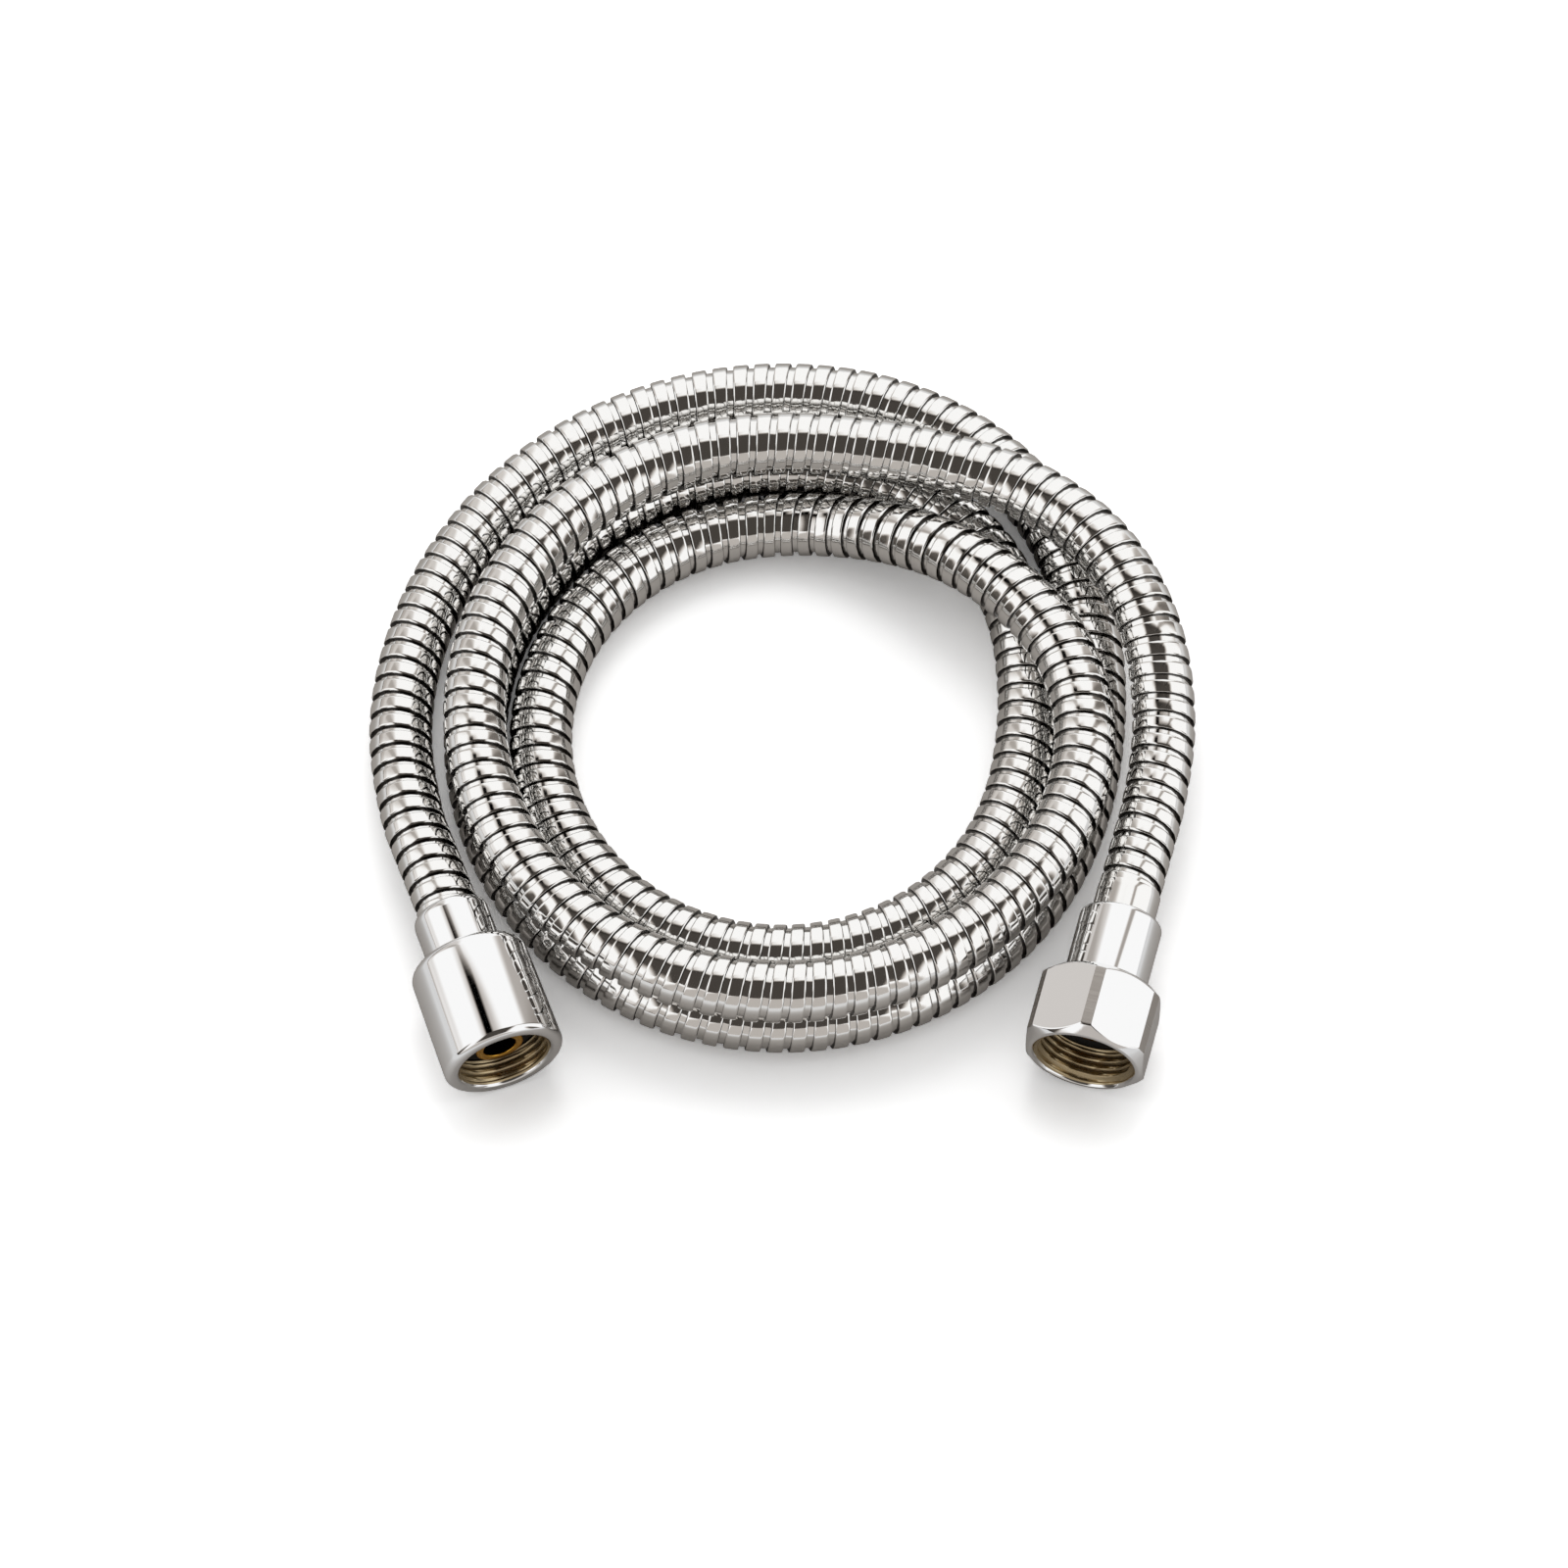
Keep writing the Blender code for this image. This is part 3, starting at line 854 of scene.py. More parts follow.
@dataclass
class PipeThread:
    """An internal 3/8 inch parallel pipe thread, in millimetres.

    Attributes:
        pitch: The advance in one turn.
        crest: Radius at the crests, which is the plain bore of the solids.
        root: Radius at the roots.
        rows_per_turn: How many rings one turn is drawn with.
        open_mouth: Whether the mouth is as wide as the roots.
        crest_width: How near its section comes to a plain triangle, from 0 to 1.
        fade_rings: How many rings it takes to run out at either end.
    """

    pitch: float = 1.337
    crest: float = 7.5
    root: float = 8.33
    rows_per_turn: int = 12
    open_mouth: bool = False
    crest_width: float = 0.92
    fade_rings: float = 5.0

    def rows(self, start: float, end: float, columns: int) -> list[tuple[np.ndarray, float]]:
        """Draw the thread's rings.

        Args:
            start: Station of its first ring, by the mouth.
            end: Station of its last ring.
            columns: How many points each ring has.

        Returns:
            Rings, each with a radius for every column and a station.
        """
        count = math.ceil(abs(end - start) / self.pitch * self.rows_per_turn)
        share = np.arange(columns) / columns
        rings = []
        for index in range(count + 1):
            station = start + (end - start) * index / count
            wave = np.sin(2.0 * math.pi * (station / self.pitch - share))
            flank = np.arcsin(self.crest_width * wave) / math.asin(self.crest_width)
            start_share = min(1.0, index / self.fade_rings)
            depth = 0.5 + 0.5 * flank
            if self.open_mouth:
                depth = 1.0 - (1.0 - depth) * start_share
            else:
                depth = depth * start_share
            depth = depth * min(1.0, (count - index) / self.fade_rings)
            rings.append((self.crest + (self.root - self.crest) * depth, station))
        return rings


def grid_piece(
    name: str,
    rings: Sequence[tuple[np.ndarray | float, np.ndarray | float]],
    angles: np.ndarray,
    materials: Sequence[bpy.types.Material],
    face_material: np.ndarray,
    sharp_deg: float,
) -> bpy.types.Object:
    """Skin rings whose radius and station may change round the axis.

    Args:
        name: The piece's name.
        rings: Radius and station of each ring, one number or one for each column.
        angles: The columns' angles.
        materials: The piece's materials.
        face_material: The number of the material of the faces that follow each ring, one
            number for each ring or one row of numbers for its columns.
        sharp_deg: Edges that turn by more than this stay sharp.

    Returns:
        The piece, with its axis along +Z.
    """
    columns = len(angles)
    points = []
    for radius, station in rings:
        radii = np.broadcast_to(radius, (columns,))
        stations = np.broadcast_to(station, (columns,))
        points.append(np.stack([radii * np.cos(angles), radii * np.sin(angles), stations], -1))
    faces = ring_faces(len(rings), columns)[:, ::-1]
    rows = face_material.reshape(len(rings), -1)
    numbers = np.broadcast_to(rows, (len(rings), columns)).ravel()
    return mesh_object(name, np.vstack(points) * MM, faces, materials, sharp_deg, numbers)


@dataclass
class RoundEnd:
    """The round swivel nut's end, with lengths in millimetres.

    Attributes:
        place: Where it sits.
        hose_radius: The hose's radius.
        sleeve_radius: The ferrule's radius.
        sleeve_bore: The radius of its bore.
        sleeve_nose: Length of its closed nose.
        nut_back_radius: The nut's radius behind.
        nut_mouth_radius: The nut's radius at its mouth.
        shoulder: Radius of the nut's rounded shoulder.
        rim: Radius of the rounded edge round its mouth.
        lead_in: How far the mouth is wider than the thread's crests.
        inner_edge: Radius of the mouth's inner edge.
        thread: The thread.
        segments: How many pieces a turn is drawn with.
    """

    place: Fitting = Fitting("round_nut_swivel", 18.9, 15.9, 8.8, 28.7, 4.8)
    hose_radius: float = 5.15
    sleeve_radius: float = 6.25
    sleeve_bore: float = 5.45
    sleeve_nose: float = 1.5
    nut_back_radius: float = 9.8
    nut_mouth_radius: float = 10.1
    shoulder: float = 2.0
    rim: float = 1.2
    lead_in: float = 0.3
    inner_edge: float = 0.6
    thread: PipeThread = field(default_factory=PipeThread)
    segments: int = 144

    def build_nut(self, outside: bpy.types.Material, inside: bpy.types.Material) -> None:
        """Turn the nut, with its thread.

        Args:
            outside: The finish of its outside.
            inside: The finish of its bore.
        """
        place = self.place
        hole = self.sleeve_radius + place.gap
        outer = rounded(
            (self.nut_back_radius - self.shoulder, place.nut_back + self.shoulder),
            self.shoulder, -90.0, 0.0, 10,
        )
        outer += rounded(
            (self.nut_mouth_radius - self.rim, place.mouth - self.rim), self.rim, 0.0, 90.0, 8
        )
        edge = self.inner_edge
        mouth_edge = self.thread.crest + self.lead_in
        lead = rounded((mouth_edge + edge, place.mouth - edge), edge, 90.0, 170.0, 6)
        rows = self.thread.rows(place.mouth - edge - 0.1, place.washer_face, self.segments)
        inner = [(self.thread.crest, place.shoulder), (hole, place.shoulder),
                 (hole, place.nut_back + 0.25), (hole + 0.25, place.nut_back)]
        rings = [*outer, *lead, *rows, *inner]
        plated = len(outer) + len(lead)
        finishes = [0] * (plated - 1) + [1] * (len(rows) + 1) + [0] * len(inner)
        angles = np.arange(self.segments) * 2.0 * math.pi / self.segments
        nut = grid_piece(
            "round_nut", rings, angles, [outside, inside], np.array(finishes), 40.0
        )
        place.seat(nut, Body.ROUND_NUT, Slot.CHROME, "round_swivel_nut")

    def build_sleeve(self, material: bpy.types.Material) -> None:
        """Turn the ferrule, with its nose closed on to the hose.

        Args:
            material: Its finish.
        """
        nose = self.sleeve_nose
        wall = self.sleeve_radius - self.hose_radius - 0.05
        profile: Profile = [(self.hose_radius + 0.05, 0.35)]
        for index in range(9):
            angle = math.radians(-90.0 + 90.0 * index / 8)
            profile.append((self.sleeve_radius - 0.8 * wall * (1.0 - math.cos(angle)),
                            nose + nose * math.sin(angle)))
        profile += [(self.sleeve_radius, self.place.sleeve_end),
                    (self.sleeve_bore, self.place.sleeve_end), (self.sleeve_bore, nose)]
        piece = TurnedPiece("round_ferrule", profile, 112, 40.0).build(material)
        self.place.seat(piece, Body.HOSE, Slot.CHROME, "round_end_sleeve")


@dataclass
class HexEnd:
    """The hexagonal swivel nut's end, with lengths in millimetres.

    Attributes:
        place: Where it sits.
        hose_radius: The hose's radius.
        sleeve_radius: The sleeve's radius.
        sleeve_bore: The radius of its bore.
        sleeve_nose: Radius of its rounded nose.
        neck_radius: The radius of the nozzle's neck.
        across_flats: The nut's width across its flats.
        corner_land: The width of the land between two flats.
        face_radius: The radius of its round end faces.
        chamfer: How far its corners are cut back at each end.
        lead_in: How far the mouth is wider than the thread's crests.
        thread_start: How deep the thread's first ring lies.
        edge_round: How far its outer edges are rounded.
        flat_steps: How many pieces a flat is drawn with.
        land_steps: How many pieces a land is drawn with.
        thread: The thread.
    """

    place: Fitting = Fitting("hex_nut_swivel", 12.6, 9.6, 12.9, 26.4, 6.3)
    hose_radius: float = 5.15
    sleeve_radius: float = 6.85
    sleeve_bore: float = 5.45
    sleeve_nose: float = 0.9
    neck_radius: float = 5.0
    across_flats: float = 19.5
    corner_land: float = 1.75
    face_radius: float = 9.2
    chamfer: float = 1.4
    lead_in: float = 1.0
    thread_start: float = 0.35
    edge_round: float = 0.14
    flat_steps: int = 14
    land_steps: int = 3
    thread: PipeThread = field(default_factory=lambda: PipeThread(root=8.38, open_mouth=True))

    @property
    def corner_reach(self) -> float:
        """Radius over a corner's land."""
        return (self.across_flats - self.corner_land / 2.0) / math.sqrt(3.0)

    def outline(self) -> tuple[np.ndarray, np.ndarray, np.ndarray]:
        """Draw the nut's outline seen along its axis, with narrow lands for corners.

        Returns:
            The angle and the radius of each column, and whether a land's face follows it.
        """
        flat = self.across_flats / 2.0
        half_land = self.corner_land / 2.0
        turn = math.atan2(half_land, self.corner_reach)
        angles: list[float] = []
        on_corner: list[bool] = []
        for corner in range(6):
            middle = math.radians(90.0 + 60.0 * corner)
            for index in range(self.land_steps + 1):
                angles.append(middle - turn + 2.0 * turn * index / self.land_steps)
                on_corner.append(index < self.land_steps)
            span = math.radians(60.0) - 2.0 * turn
            for index in range(1, self.flat_steps):
                share = 0.5 - 0.5 * math.cos(math.pi * index / self.flat_steps)
                angles.append(middle + turn + span * share)
                on_corner.append(False)
        columns = np.array(angles)
        half_side = math.pi / 6.0
        turned = columns - math.radians(90.0) + half_side
        from_corner = turned % (2.0 * half_side) - half_side
        on_land = self.corner_reach / np.cos(from_corner)
        on_flat = flat / np.cos(half_side - np.abs(from_corner))
        return columns, np.minimum(on_land, on_flat), np.array(on_corner)

    def build_nut(
        self, outside: bpy.types.Material, inside: bpy.types.Material, corner: bpy.types.Material
    ) -> None:
        """Draw the nut: six flats and narrow corner lands, cut by a cone at each end.

        Args:
            outside: The finish of its outside.
            inside: The finish of its bore.
            corner: The finish of its corner lands.
        """
        place = self.place
        angles, hexagon, on_corner = self.outline()
        slope = self.chamfer / (self.corner_reach - self.face_radius)
        rise = slope * (hexagon - self.face_radius)
        edge = self.edge_round
        back, mouth = place.nut_back, place.mouth
        drop = edge * slope
        outer = [
            (self.face_radius - edge, back),
            (self.face_radius + edge / 2.0, back + drop / 2.0),
            (hexagon - edge, back + rise - drop),
            (hexagon - edge * 0.25, back + rise + edge * 0.1),
            (hexagon, back + rise + edge),
            (hexagon, back + rise + 3.0 * edge),
            (hexagon, mouth - rise - 3.0 * edge),
            (hexagon, mouth - rise - edge),
            (hexagon - edge * 0.25, mouth - rise - edge * 0.1),
            (hexagon - edge, mouth - rise + drop),
            (self.face_radius + edge / 2.0, mouth - drop / 2.0),
            (self.face_radius - edge, mouth),
        ]
        mouth_edge = self.thread.crest + self.lead_in
        lead = [(mouth_edge + 0.15, mouth), (mouth_edge - 0.05, mouth - 0.2)]
        rows = self.thread_rows(mouth - self.thread_start, place.washer_face, angles)
        hole = self.neck_radius + place.gap
        inner = [(self.thread.crest, place.shoulder), (hole, place.shoulder),
                 (hole, back + 0.2), (hole + 0.2, back)]
        rings = [*outer, *lead, *rows, *inner]
        plated = len(outer) + len(lead)
        finishes = np.zeros((len(rings), len(angles)), dtype=int)
        finishes[plated:plated + len(rows) + 1] = 1
        sides = slice(3, 8)  # The rings between the two cones
        finishes[sides, on_corner] = 2
        nut = grid_piece("hex_nut", rings, angles, [outside, inside, corner], finishes, 24.0)
        place.seat(nut, Body.HEX_NUT, Slot.CHROME, "hex_swivel_nut")

    def thread_rows(
        self, start: float, end: float, angles: np.ndarray
    ) -> list[tuple[np.ndarray, float]]:
        """Draw the thread's rings at the outline's columns.

        Args:
            start: Station by the mouth.
            end: Station of the washer's face.
            angles: The columns' angles.

        Returns:
            Rings, each with a radius for every column and a station.
        """
        fine = 720
        share = (angles / (2.0 * math.pi)) % 1.0
        rings = []
        for radii, station in self.thread.rows(start, end, fine):
            spread = np.broadcast_to(radii, (fine,))
            looped = np.append(spread, spread[0])
            rings.append((np.interp(share, np.linspace(0.0, 1.0, fine + 1), looped), station))
        return rings

    def build_sleeve(self, material: bpy.types.Material) -> None:
        """Turn the sleeve, with its nose closed on to the hose.

        Args:
            material: Its finish.
        """
        nose = self.sleeve_nose
        lip = self.hose_radius + 0.12
        profile: Profile = [(lip, 0.3), (lip + 0.15, 0.0)]
        profile += rounded((self.sleeve_radius - nose, nose), nose, -90.0, 0.0, 8)
        profile += [
            (self.sleeve_radius, self.place.sleeve_end - 0.2),
            (self.sleeve_radius - 0.2, self.place.sleeve_end),
            (self.sleeve_bore, self.place.sleeve_end),
            (self.sleeve_bore, nose),
        ]
        piece = TurnedPiece("hex_sleeve", profile, 112, 40.0).build(material)
        self.place.seat(piece, Body.HOSE, Slot.CHROME, "hex_end_sleeve")


@dataclass
class Nozzle:
    """A turned nozzle: barbed tail in the tube, neck, flange and the collar in the nut.

    Its lengths are in millimetres.

    Attributes:
        name: The piece's name.
        node: The solid that it replaces.
        place: Where it sits.
        neck_radius: The neck's radius.
        collar_depth: From the nut's mouth to the collar's face.
        barb_radius: Radius over the barbs.
        barb_height: Height of the barbs.
        barb_length: Length of the barbed tail.
        barb_count: How many barbs it has.
        bore_radius: Radius of the bore.
        flange_radius: Radius of the flange.
        collar_radius: Radius of the collar.
        collar_bore: Radius of the wider bore in the collar.
        collar_bore_depth: Depth of that wider bore.
        edge: Radius of the collar's rounded edges.
    """

    name: str
    node: str
    place: Fitting
    neck_radius: float
    collar_depth: float
    barb_radius: float = 2.339
    barb_height: float = 0.3
    barb_length: float = 8.0
    barb_count: int = 3
    bore_radius: float = 1.6
    flange_radius: float = 7.2
    collar_radius: float = 4.0
    collar_bore: float = 2.75
    collar_bore_depth: float = 3.0
    edge: float = 0.2

    def build(self, material: bpy.types.Material, bore: bpy.types.Material) -> None:
        """Turn the nozzle.

        Args:
            material: The finish of its outside.
            bore: The finish of its bore, near-black as painted shade.
        """
        place = self.place
        root = self.barb_radius - self.barb_height
        pitch = self.barb_length / self.barb_count
        profile: Profile = []
        for index in range(self.barb_count):
            start = place.hose_end - self.barb_length + pitch * index
            profile += [(root, start), (self.barb_radius, start + 0.8 * pitch)]
        flange_face = place.flange_back + place.flange_thickness
        face = place.mouth - self.collar_depth
        neck_back = place.hose_end + place.gap
        step = self.collar_bore - self.bore_radius
        profile += [
            (root, place.hose_end), (root, neck_back), (self.neck_radius, neck_back),
            (self.neck_radius, place.flange_back), (self.flange_radius, place.flange_back),
            (self.flange_radius, flange_face), (self.collar_radius, flange_face),
            *rounded((self.collar_radius - self.edge, face - self.edge), self.edge, 0.0, 90.0, 3),
            *rounded((self.collar_bore + self.edge, face - self.edge), self.edge, 90.0, 180.0, 3),
            (self.collar_bore, face - self.collar_bore_depth),
            (self.bore_radius, face - self.collar_bore_depth - step),
            (self.bore_radius, place.hose_end - self.barb_length),
        ]
        # The bore's rings take the near-black painted shade.
        bore_from = len(profile) - 4
        piece = TurnedPiece(self.name, profile, 96, 34.0, bore_from).build(material, bore)
        place.seat(piece, Body.HOSE, Slot.BRASS, self.node)


@dataclass
class Washer:
    """The flat rubber washer in a nut, with softly rounded edges."""

    name: str
    node: str
    body: Body
    place: Fitting
    inner_radius: float = 4.3
    outer_radius: float = 7.2
    edge: float = 0.35

    def build(self, material: bpy.types.Material) -> None:
        """Mould the washer.

        Args:
            material: Its finish.
        """
        low, high, edge = self.place.washer_back, self.place.washer_face, self.edge
        profile = rounded((self.inner_radius + edge, low + edge), edge, 180.0, 270.0, 4)
        profile += rounded((self.outer_radius - edge, low + edge), edge, -90.0, 0.0, 4)
        profile += rounded((self.outer_radius - edge, high - edge), edge, 0.0, 90.0, 4)
        profile += rounded((self.inner_radius + edge, high - edge), edge, 90.0, 180.0, 4)
        piece = TurnedPiece(self.name, profile, 80, 60.0).build(material)
        self.place.seat(piece, self.body, Slot.RUBBER, self.node)


class Measure(Enum):
    """The measures of a mirrored direction by which a flag is placed."""

    RIGHT = "right"
    AWAY = "away"
    UP = "up"
    RIGHT_TO_UP = "right over up"
    AWAY_TO_UP = "away over up"
    RIGHT_TO_AWAY = "right over away"


@dataclass(frozen=True)
class Span:
    """A band of one measure, with soft edges.

    Attributes:
        measure: The measure.
        low: Where the band starts.
        high: Where it ends.
        soft: Half the width of its soft edges.
    """

    measure: Measure
    low: float
    high: float
    soft: float

    def mask(
        self, tree: bpy.types.NodeTree, values: dict[Measure, bpy.types.NodeSocket]
    ) -> bpy.types.NodeSocket:
        """Mask the band.

        Args:
            tree: The world's nodes.
            values: The sockets of the measures.

        Returns:
            A socket that is 1 in the band and 0 outside it.
        """
        edges = []
        for middle, before, after in ((self.low, 0.0, 1.0), (self.high, 1.0, 0.0)):
            edge = add_node(
                tree, "ShaderNodeMapRange",
                {"interpolation_type": "SMOOTHSTEP", "From Min": middle - self.soft,
                 "From Max": middle + self.soft, "To Min": before, "To Max": after},
                {"Value": values[self.measure]},
            )
            edges.append(edge.outputs["Result"])
        both = add_node(tree, "ShaderNodeMath", {"operation": "MULTIPLY"},
                        {0: edges[0], 1: edges[1]})
        return both.outputs[0]


@dataclass(frozen=True)
class Flag:
    """A dark card in the white tent, where two bands cross.

    Attributes:
        first: One band.
        second: The other band.
        depth: The share of the light that it takes away.
    """

    first: Span
    second: Span
    depth: float


FLAGS = (
    # Dark flag overhead and in front: from behind the zenith to well in front of it
    Flag(Span(Measure.AWAY_TO_UP, -1.4, 0.24, 0.07), Span(Measure.RIGHT, -0.46, 0.46, 0.08), 0.94),
    # Dark sides in front, beyond the light gaps beside that flag
    Flag(Span(Measure.AWAY, -0.72, -0.2, 0.08), Span(Measure.RIGHT, -1.0, -0.80, 0.05), 0.9),
    Flag(Span(Measure.AWAY, -0.72, -0.2, 0.08), Span(Measure.RIGHT, 0.84, 1.0, 0.05), 0.9),
    # Thin black flag on the left, with a soft grey one round it
    Flag(Span(Measure.RIGHT_TO_UP, -0.55, -0.29, 0.05),
         Span(Measure.AWAY_TO_UP, 0.2, 0.46, 0.05), 1.0),
    Flag(Span(Measure.RIGHT_TO_UP, -0.66, -0.10, 0.18),
         Span(Measure.AWAY_TO_UP, 0.1, 0.48, 0.08), 0.5),
    # Its faint upper part, and the grey flag on the right
    Flag(Span(Measure.RIGHT_TO_AWAY, -1.25, -0.80, 0.12),
         Span(Measure.AWAY_TO_UP, 0.46, 1.5, 0.08), 0.35),
    Flag(Span(Measure.RIGHT_TO_AWAY, 1.12, 1.62, 0.14), Span(Measure.AWAY, 0.12, 1.0, 0.05), 0.62),
    # Grey low behind on either side, beyond the white that the hose's crown mirrors
    Flag(Span(Measure.AWAY, 0.44, 1.1, 0.08), Span(Measure.RIGHT, -1.1, -0.36, 0.08), 0.36),
    Flag(Span(Measure.AWAY, 0.46, 1.1, 0.06), Span(Measure.RIGHT, 0.56, 1.1, 0.06), 0.55),
    # Light grey low on the left and behind, darkest at the horizon
    Flag(Span(Measure.RIGHT, -1.0, -0.55, 0.08), Span(Measure.UP, -0.2, 0.24, 0.08), 0.3),
    Flag(Span(Measure.RIGHT, -1.0, -0.5, 0.08), Span(Measure.UP, -0.02, 0.05, 0.03), 0.6),
    # Light grey in front, low over the floor
    Flag(Span(Measure.AWAY, -1.1, -0.80, 0.03), Span(Measure.RIGHT, -1.1, 1.1, 0.1), 0.50),
)


@dataclass
class Studio:
    """The camera, floor, lamp and surroundings that the metal mirrors.

    Attributes:
        elevation: The camera's height above the horizon, in degrees.
        lens: The camera's focal length in millimetres.
        sensor: The width of the camera's sensor in millimetres.
        frame_width: The width of floor that the picture shows, in metres.
        aim: The point on the floor at the picture's centre.
        floor_colour: The floor's colour.
        floor_glow: What the floor adds to its light for the camera.
        floor_half: Half the floor's width, in metres.
        mirrored_painted_shade: The floor's colour in the metal, close to the hose, darker there as
            painted shade.
        mirrored_far: The same, further away.
        mirrored_reach: Where the one goes over into the other, in metres from the middle.
        sky_back: The light of the tent's back half.
        sky_front: The light of its front half, which is lower, so that shadows fall forwards.
        sky_soft: Half the width of the band between them.
        dark_tint: The warm tint of the flags.
        least_slope: The least height or depth that a direction is divided by.
        lamp_elevation: The lamp's height above the horizon, in degrees.
        lamp_softness: The angle across the lamp, in degrees.
        lamp_watts: The lamp's light, in watts on a square metre.
    """

    elevation: float = 63.0
    lens: float = 800.0
    sensor: float = 36.0
    frame_width: float = 0.2555
    aim: tuple[float, float, float] = (0.0003, -0.00775, 0.0)
    floor_colour: str = "#E8E8E8"
    floor_glow: float = 0.08
    floor_half: float = 4.0
    mirrored_painted_shade: str = "#B2ADA8"
    mirrored_far: str = "#F0F0F0"
    mirrored_reach: tuple[float, float] = (0.07, 0.16)
    sky_back: float = 1.0
    sky_front: float = 0.4
    sky_soft: float = 0.3
    dark_tint: str = "#FFF0E2"
    least_slope: float = 0.05
    lamp_elevation: float = 60.0
    lamp_softness: float = 22.0
    lamp_watts: float = 0.3

    def add_camera(self) -> None:
        """Add the camera at the photograph's angle."""
        data = bpy.data.cameras.new("camera")
        data.lens = self.lens
        data.sensor_width = self.sensor
        data.clip_start = 0.01
        camera = bpy.data.objects.new("camera", data)
        angle = math.radians(self.elevation)
        back = Vector((0.0, -math.cos(angle), math.sin(angle)))
        distance = self.frame_width * self.lens / self.sensor
        camera.location = Vector(self.aim) + back * distance
        camera.rotation_euler = (-back).to_track_quat("-Z", "Y").to_euler()
        bpy.context.scene.collection.objects.link(camera)
        bpy.context.scene.camera = camera

    def floor_material(self) -> bpy.types.Material:
        """Build the floor's matt white, which the camera sees as brighter than it is, and which the
        metal mirrors darker near the hose as painted shade.

        Returns:
            The material.
        """
        material, shader = new_material("matt_white_floor")
        tree = material.node_tree
        white = linear(self.floor_colour)
        path = add_node(tree, "ShaderNodeLightPath")
        place = add_node(tree, "ShaderNodeTexCoord")
        reach = add_node(tree, "ShaderNodeVectorMath", {"operation": "LENGTH"},
                         {0: place.outputs["Object"]})
        # Painted shade: in the metal the floor goes from grey near the hose's middle to pale
        # further away.
        near, far = self.mirrored_reach
        share = add_node(
            tree, "ShaderNodeMapRange",
            {"interpolation_type": "SMOOTHSTEP", "From Min": near, "From Max": far},
            {"Value": reach.outputs["Value"]},
        )
        mirrored = add_node(
            tree, "ShaderNodeMix",
            {"data_type": "RGBA", 6: linear(self.mirrored_painted_shade), 7: linear(self.mirrored_far)},
            {0: share.outputs["Result"]},
        )
        colour = add_node(
            tree, "ShaderNodeMix", {"data_type": "RGBA", 6: white},
            {0: path.outputs["Is Glossy Ray"], 7: mirrored.outputs[2]},
        )
        shader.inputs["Roughness"].default_value = 0.9
        shader.inputs["Specular IOR Level"].default_value = 0.0
        tree.links.new(colour.outputs[2], shader.inputs["Base Color"])
        lift = add_node(
            tree, "ShaderNodeMix", {"data_type": "RGBA", 6: linear("#000000"), 7: white},
            {0: path.outputs["Is Camera Ray"]},
        )
        seen = add_node(tree, "ShaderNodeBsdfDiffuse", links={"Color": lift.outputs[2]})
        level = add_node(tree, "ShaderNodeMath", {"operation": "MULTIPLY", 1: self.floor_glow},
                         {0: path.outputs["Is Camera Ray"]})
        glow = add_node(tree, "ShaderNodeEmission", links={"Strength": level.outputs[0]})
        bright = add_node(tree, "ShaderNodeAddShader",
                          links={0: seen.outputs["BSDF"], 1: glow.outputs["Emission"]})
        both = add_node(tree, "ShaderNodeAddShader",
                        links={0: shader.outputs["BSDF"], 1: bright.outputs[0]})
        tree.links.new(both.outputs[0], tree.nodes["Material Output"].inputs["Surface"])
        return material

    def add_floor(self) -> None:
        """Add the pale floor, which the camera sees as white and which keeps the shadow."""
        half = self.floor_half
        mesh = bpy.data.meshes.new("floor")
        mesh.from_pydata(
            [(-half, -half, 0.0), (half, -half, 0.0), (half, half, 0.0), (-half, half, 0.0)],
            [], [(0, 1, 2, 3)],
        )
        floor = bpy.data.objects.new("floor", mesh)
        bpy.context.scene.collection.objects.link(floor)
        mesh.materials.append(self.floor_material())

    def measures(self, tree: bpy.types.NodeTree) -> dict[Measure, bpy.types.NodeSocket]:
        """Take the measures of a direction.

        Args:
            tree: The world's nodes.

        Returns:
            The sockets of the measures.
        """
        place = add_node(tree, "ShaderNodeTexCoord")
        parts = add_node(tree, "ShaderNodeSeparateXYZ", links={0: place.outputs["Generated"]})
        right, away, up = (parts.outputs[name] for name in "XYZ")
        values = {Measure.RIGHT: right, Measure.AWAY: away, Measure.UP: up}
        for measure, value, base in (
            (Measure.RIGHT_TO_UP, right, up),
            (Measure.AWAY_TO_UP, away, up),
            (Measure.RIGHT_TO_AWAY, right, away),
        ):
            least = add_node(tree, "ShaderNodeMath",
                             {"operation": "MAXIMUM", 1: self.least_slope}, {0: base})
            ratio = add_node(tree, "ShaderNodeMath", {"operation": "DIVIDE"},
                             {0: value, 1: least.outputs[0]})
            values[measure] = ratio.outputs[0]
        return values

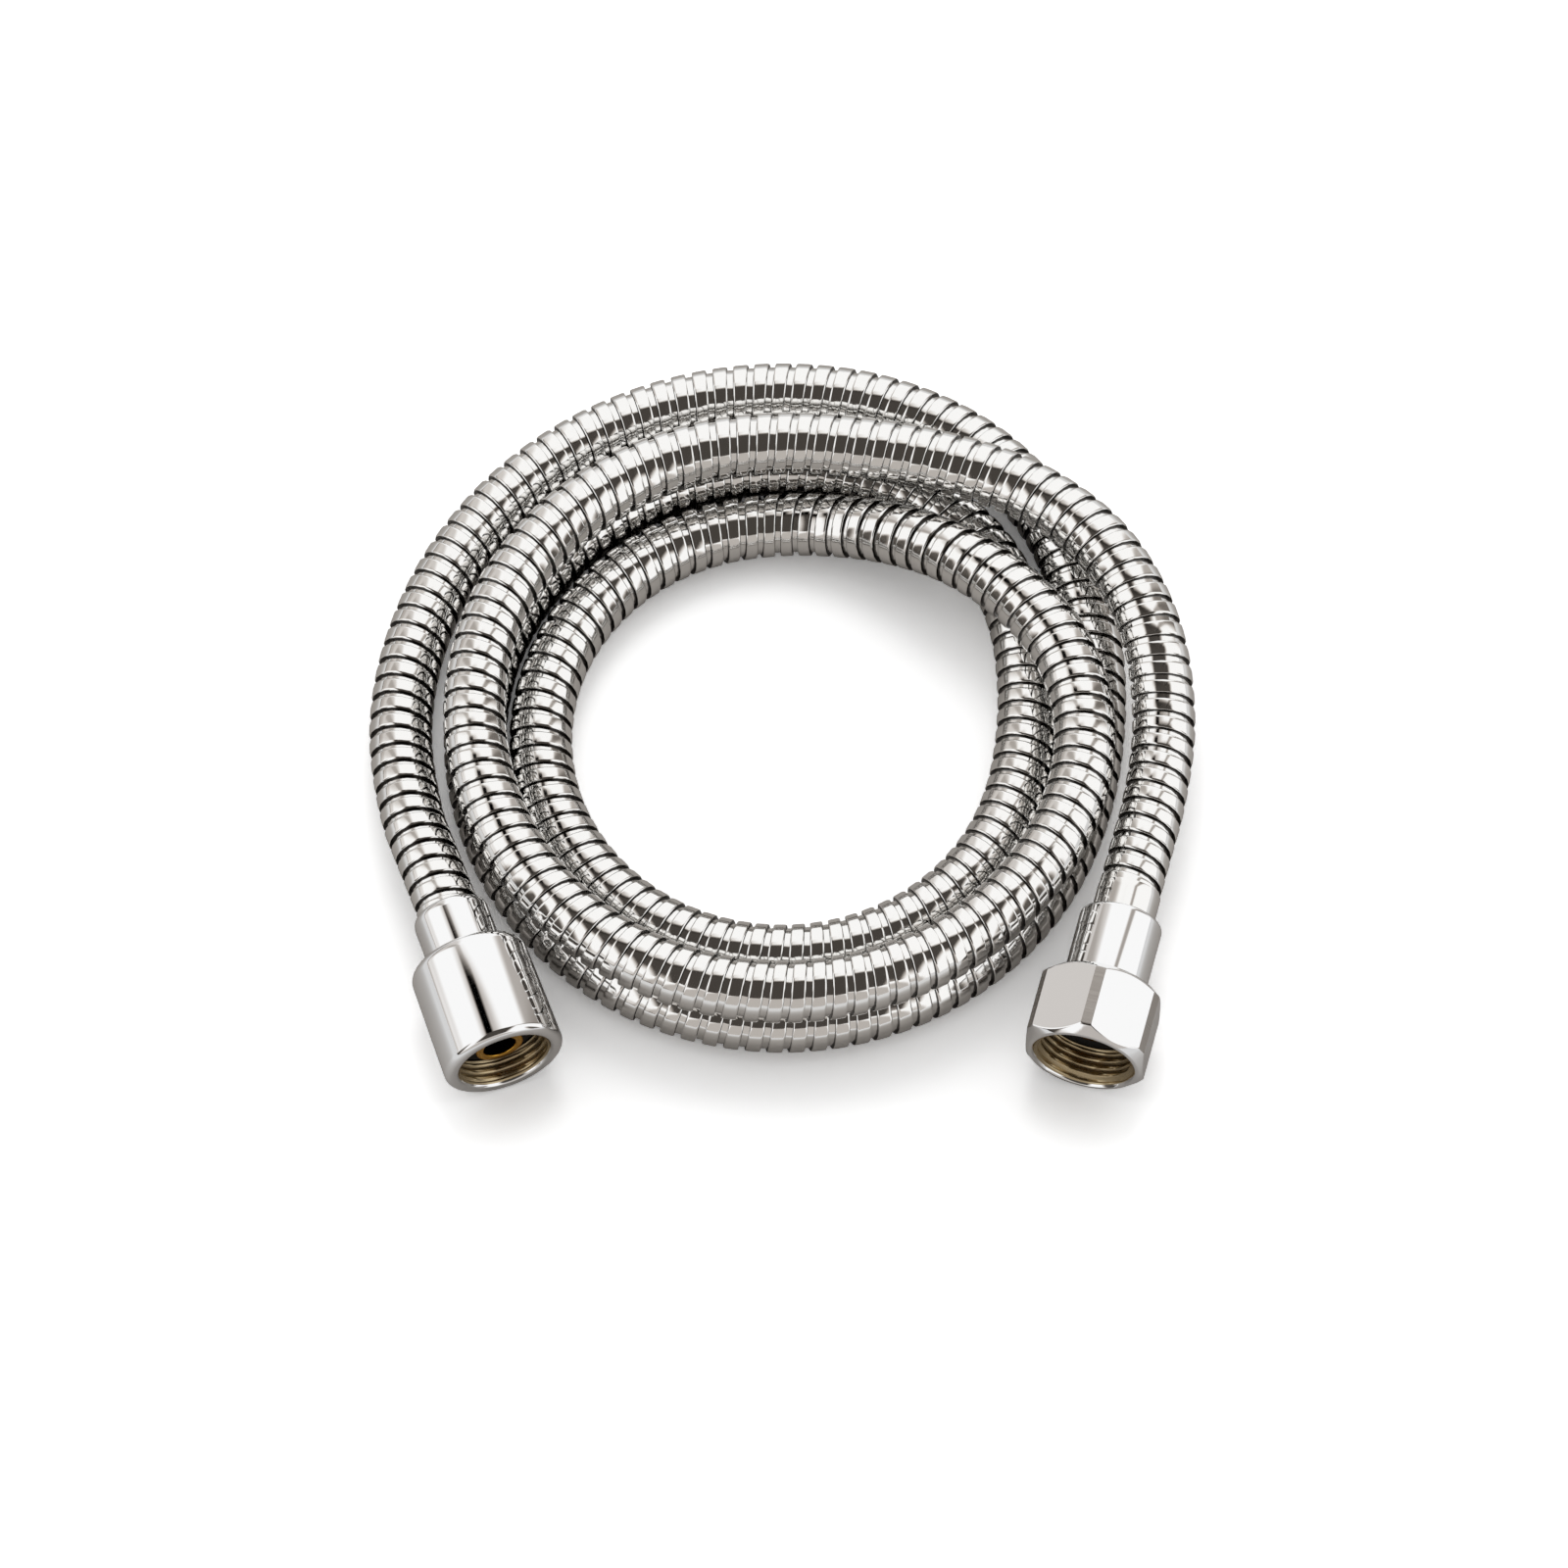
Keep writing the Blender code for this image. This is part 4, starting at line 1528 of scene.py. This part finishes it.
    def add_world(self) -> None:
        """Add the white tent round the hose, with the dark flags that the metal mirrors."""
        world = bpy.data.worlds.new("studio")
        bpy.context.scene.world = world
        world.use_nodes = True
        tree = world.node_tree
        values = self.measures(tree)
        shares = []
        for flag in FLAGS:
            inside = add_node(
                tree, "ShaderNodeMath", {"operation": "MULTIPLY"},
                {0: flag.first.mask(tree, values), 1: flag.second.mask(tree, values)},
            )
            share = add_node(
                tree, "ShaderNodeMath", {"operation": "MULTIPLY_ADD", 1: -flag.depth, 2: 1.0},
                {0: inside.outputs[0]},
            )
            shares.append(share.outputs[0])
        light = shares[0]
        for share in shares[1:]:
            light = add_node(tree, "ShaderNodeMath", {"operation": "MULTIPLY"},
                             {0: light, 1: share}).outputs[0]
        in_metal = add_node(tree, "ShaderNodeLightPath").outputs["Is Glossy Ray"]
        sky = add_node(
            tree, "ShaderNodeMapRange",
            {"interpolation_type": "SMOOTHSTEP", "From Min": -self.sky_soft,
             "From Max": self.sky_soft, "To Min": self.sky_front, "To Max": self.sky_back},
            {"Value": values[Measure.AWAY]},
        )
        shown = add_node(
            tree, "ShaderNodeMix", {"data_type": "FLOAT"},
            {0: in_metal, 2: sky.outputs["Result"], 3: light},
        )
        pale = add_node(
            tree, "ShaderNodeMix", {"data_type": "FLOAT", 2: 1.0}, {0: in_metal, 3: light}
        )
        warmth = add_node(
            tree, "ShaderNodeMix",
            {"data_type": "RGBA", 6: linear(self.dark_tint), 7: linear("#FFFFFF")},
            {0: pale.outputs[0]},
        )
        background = tree.nodes["Background"]
        tree.links.new(warmth.outputs[2], background.inputs["Color"])
        tree.links.new(shown.outputs[0], background.inputs["Strength"])

    def add_lamp(self) -> None:
        """Add the lamp behind and above, which drops the shadows forwards on the floor."""
        data = bpy.data.lights.new("back_lamp", "SUN")
        data.energy = self.lamp_watts
        data.angle = math.radians(self.lamp_softness)
        lamp = bpy.data.objects.new("back_lamp", data)
        angle = math.radians(self.lamp_elevation)
        towards = Vector((0.0, math.cos(angle), math.sin(angle)))
        lamp.rotation_euler = towards.to_track_quat("Z", "Y").to_euler()
        lamp.visible_glossy = False
        bpy.context.scene.collection.objects.link(lamp)

    def build(self) -> None:
        """Set up the whole studio."""
        self.add_camera()
        self.add_floor()
        self.add_world()
        self.add_lamp()
        bpy.context.scene.view_settings.view_transform = "Standard"


def main() -> None:
    """Build and dress every piece of the hose, then the studio."""
    logging.basicConfig(level=logging.INFO, format="%(name)s: %(message)s")
    route = HoseRoute()
    studio = Studio()
    studio.build()

    steel = STRIP_STEEL.material()
    chrome = BRIGHT_CHROME.material()
    nickel = BORE_NICKEL.material()
    brass = TURNED_BRASS.material()
    # The nozzles' bores are near-black as painted shade.
    bore_shade = BORE_PAINTED_SHADE.material()
    rubber = WASHER_RUBBER.material()
    liner = TUBE_RUBBER.material()

    # The folds' walls take the near-black painted shade.
    armour = WoundArmour(route).build(steel, STRIP_WALL_PAINTED_SHADE.material())
    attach(armour, Body.HOSE.value)
    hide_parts("hose_armour")
    LOG.info("%s: %d faces", armour.name, len(armour.data.polygons))

    tube = frame["nodes"]["inner_tube"]
    tube.data.materials.clear()
    tube.data.materials.append(liner)

    round_end = RoundEnd()
    round_end.build_sleeve(chrome)
    round_nozzle = Nozzle(
        "round_nozzle", "round_end_nozzle", round_end.place, neck_radius=5.1, collar_depth=2.8
    )
    round_nozzle.build(brass, bore_shade)
    Washer("round_washer", "round_end_washer", Body.ROUND_NUT, round_end.place).build(rubber)
    round_end.build_nut(chrome, nickel)

    hex_end = HexEnd()
    hex_end.build_sleeve(chrome)
    hex_nozzle = Nozzle(
        "hex_nozzle", "hex_end_nozzle", hex_end.place, hex_end.neck_radius, collar_depth=5.8
    )
    hex_nozzle.build(brass, bore_shade)
    Washer("hex_washer", "hex_end_washer", Body.HEX_NUT, hex_end.place).build(rubber)
    hex_end.build_nut(chrome, nickel, CORNER_CHROME.material())


if __name__ == "__main__":
    main()
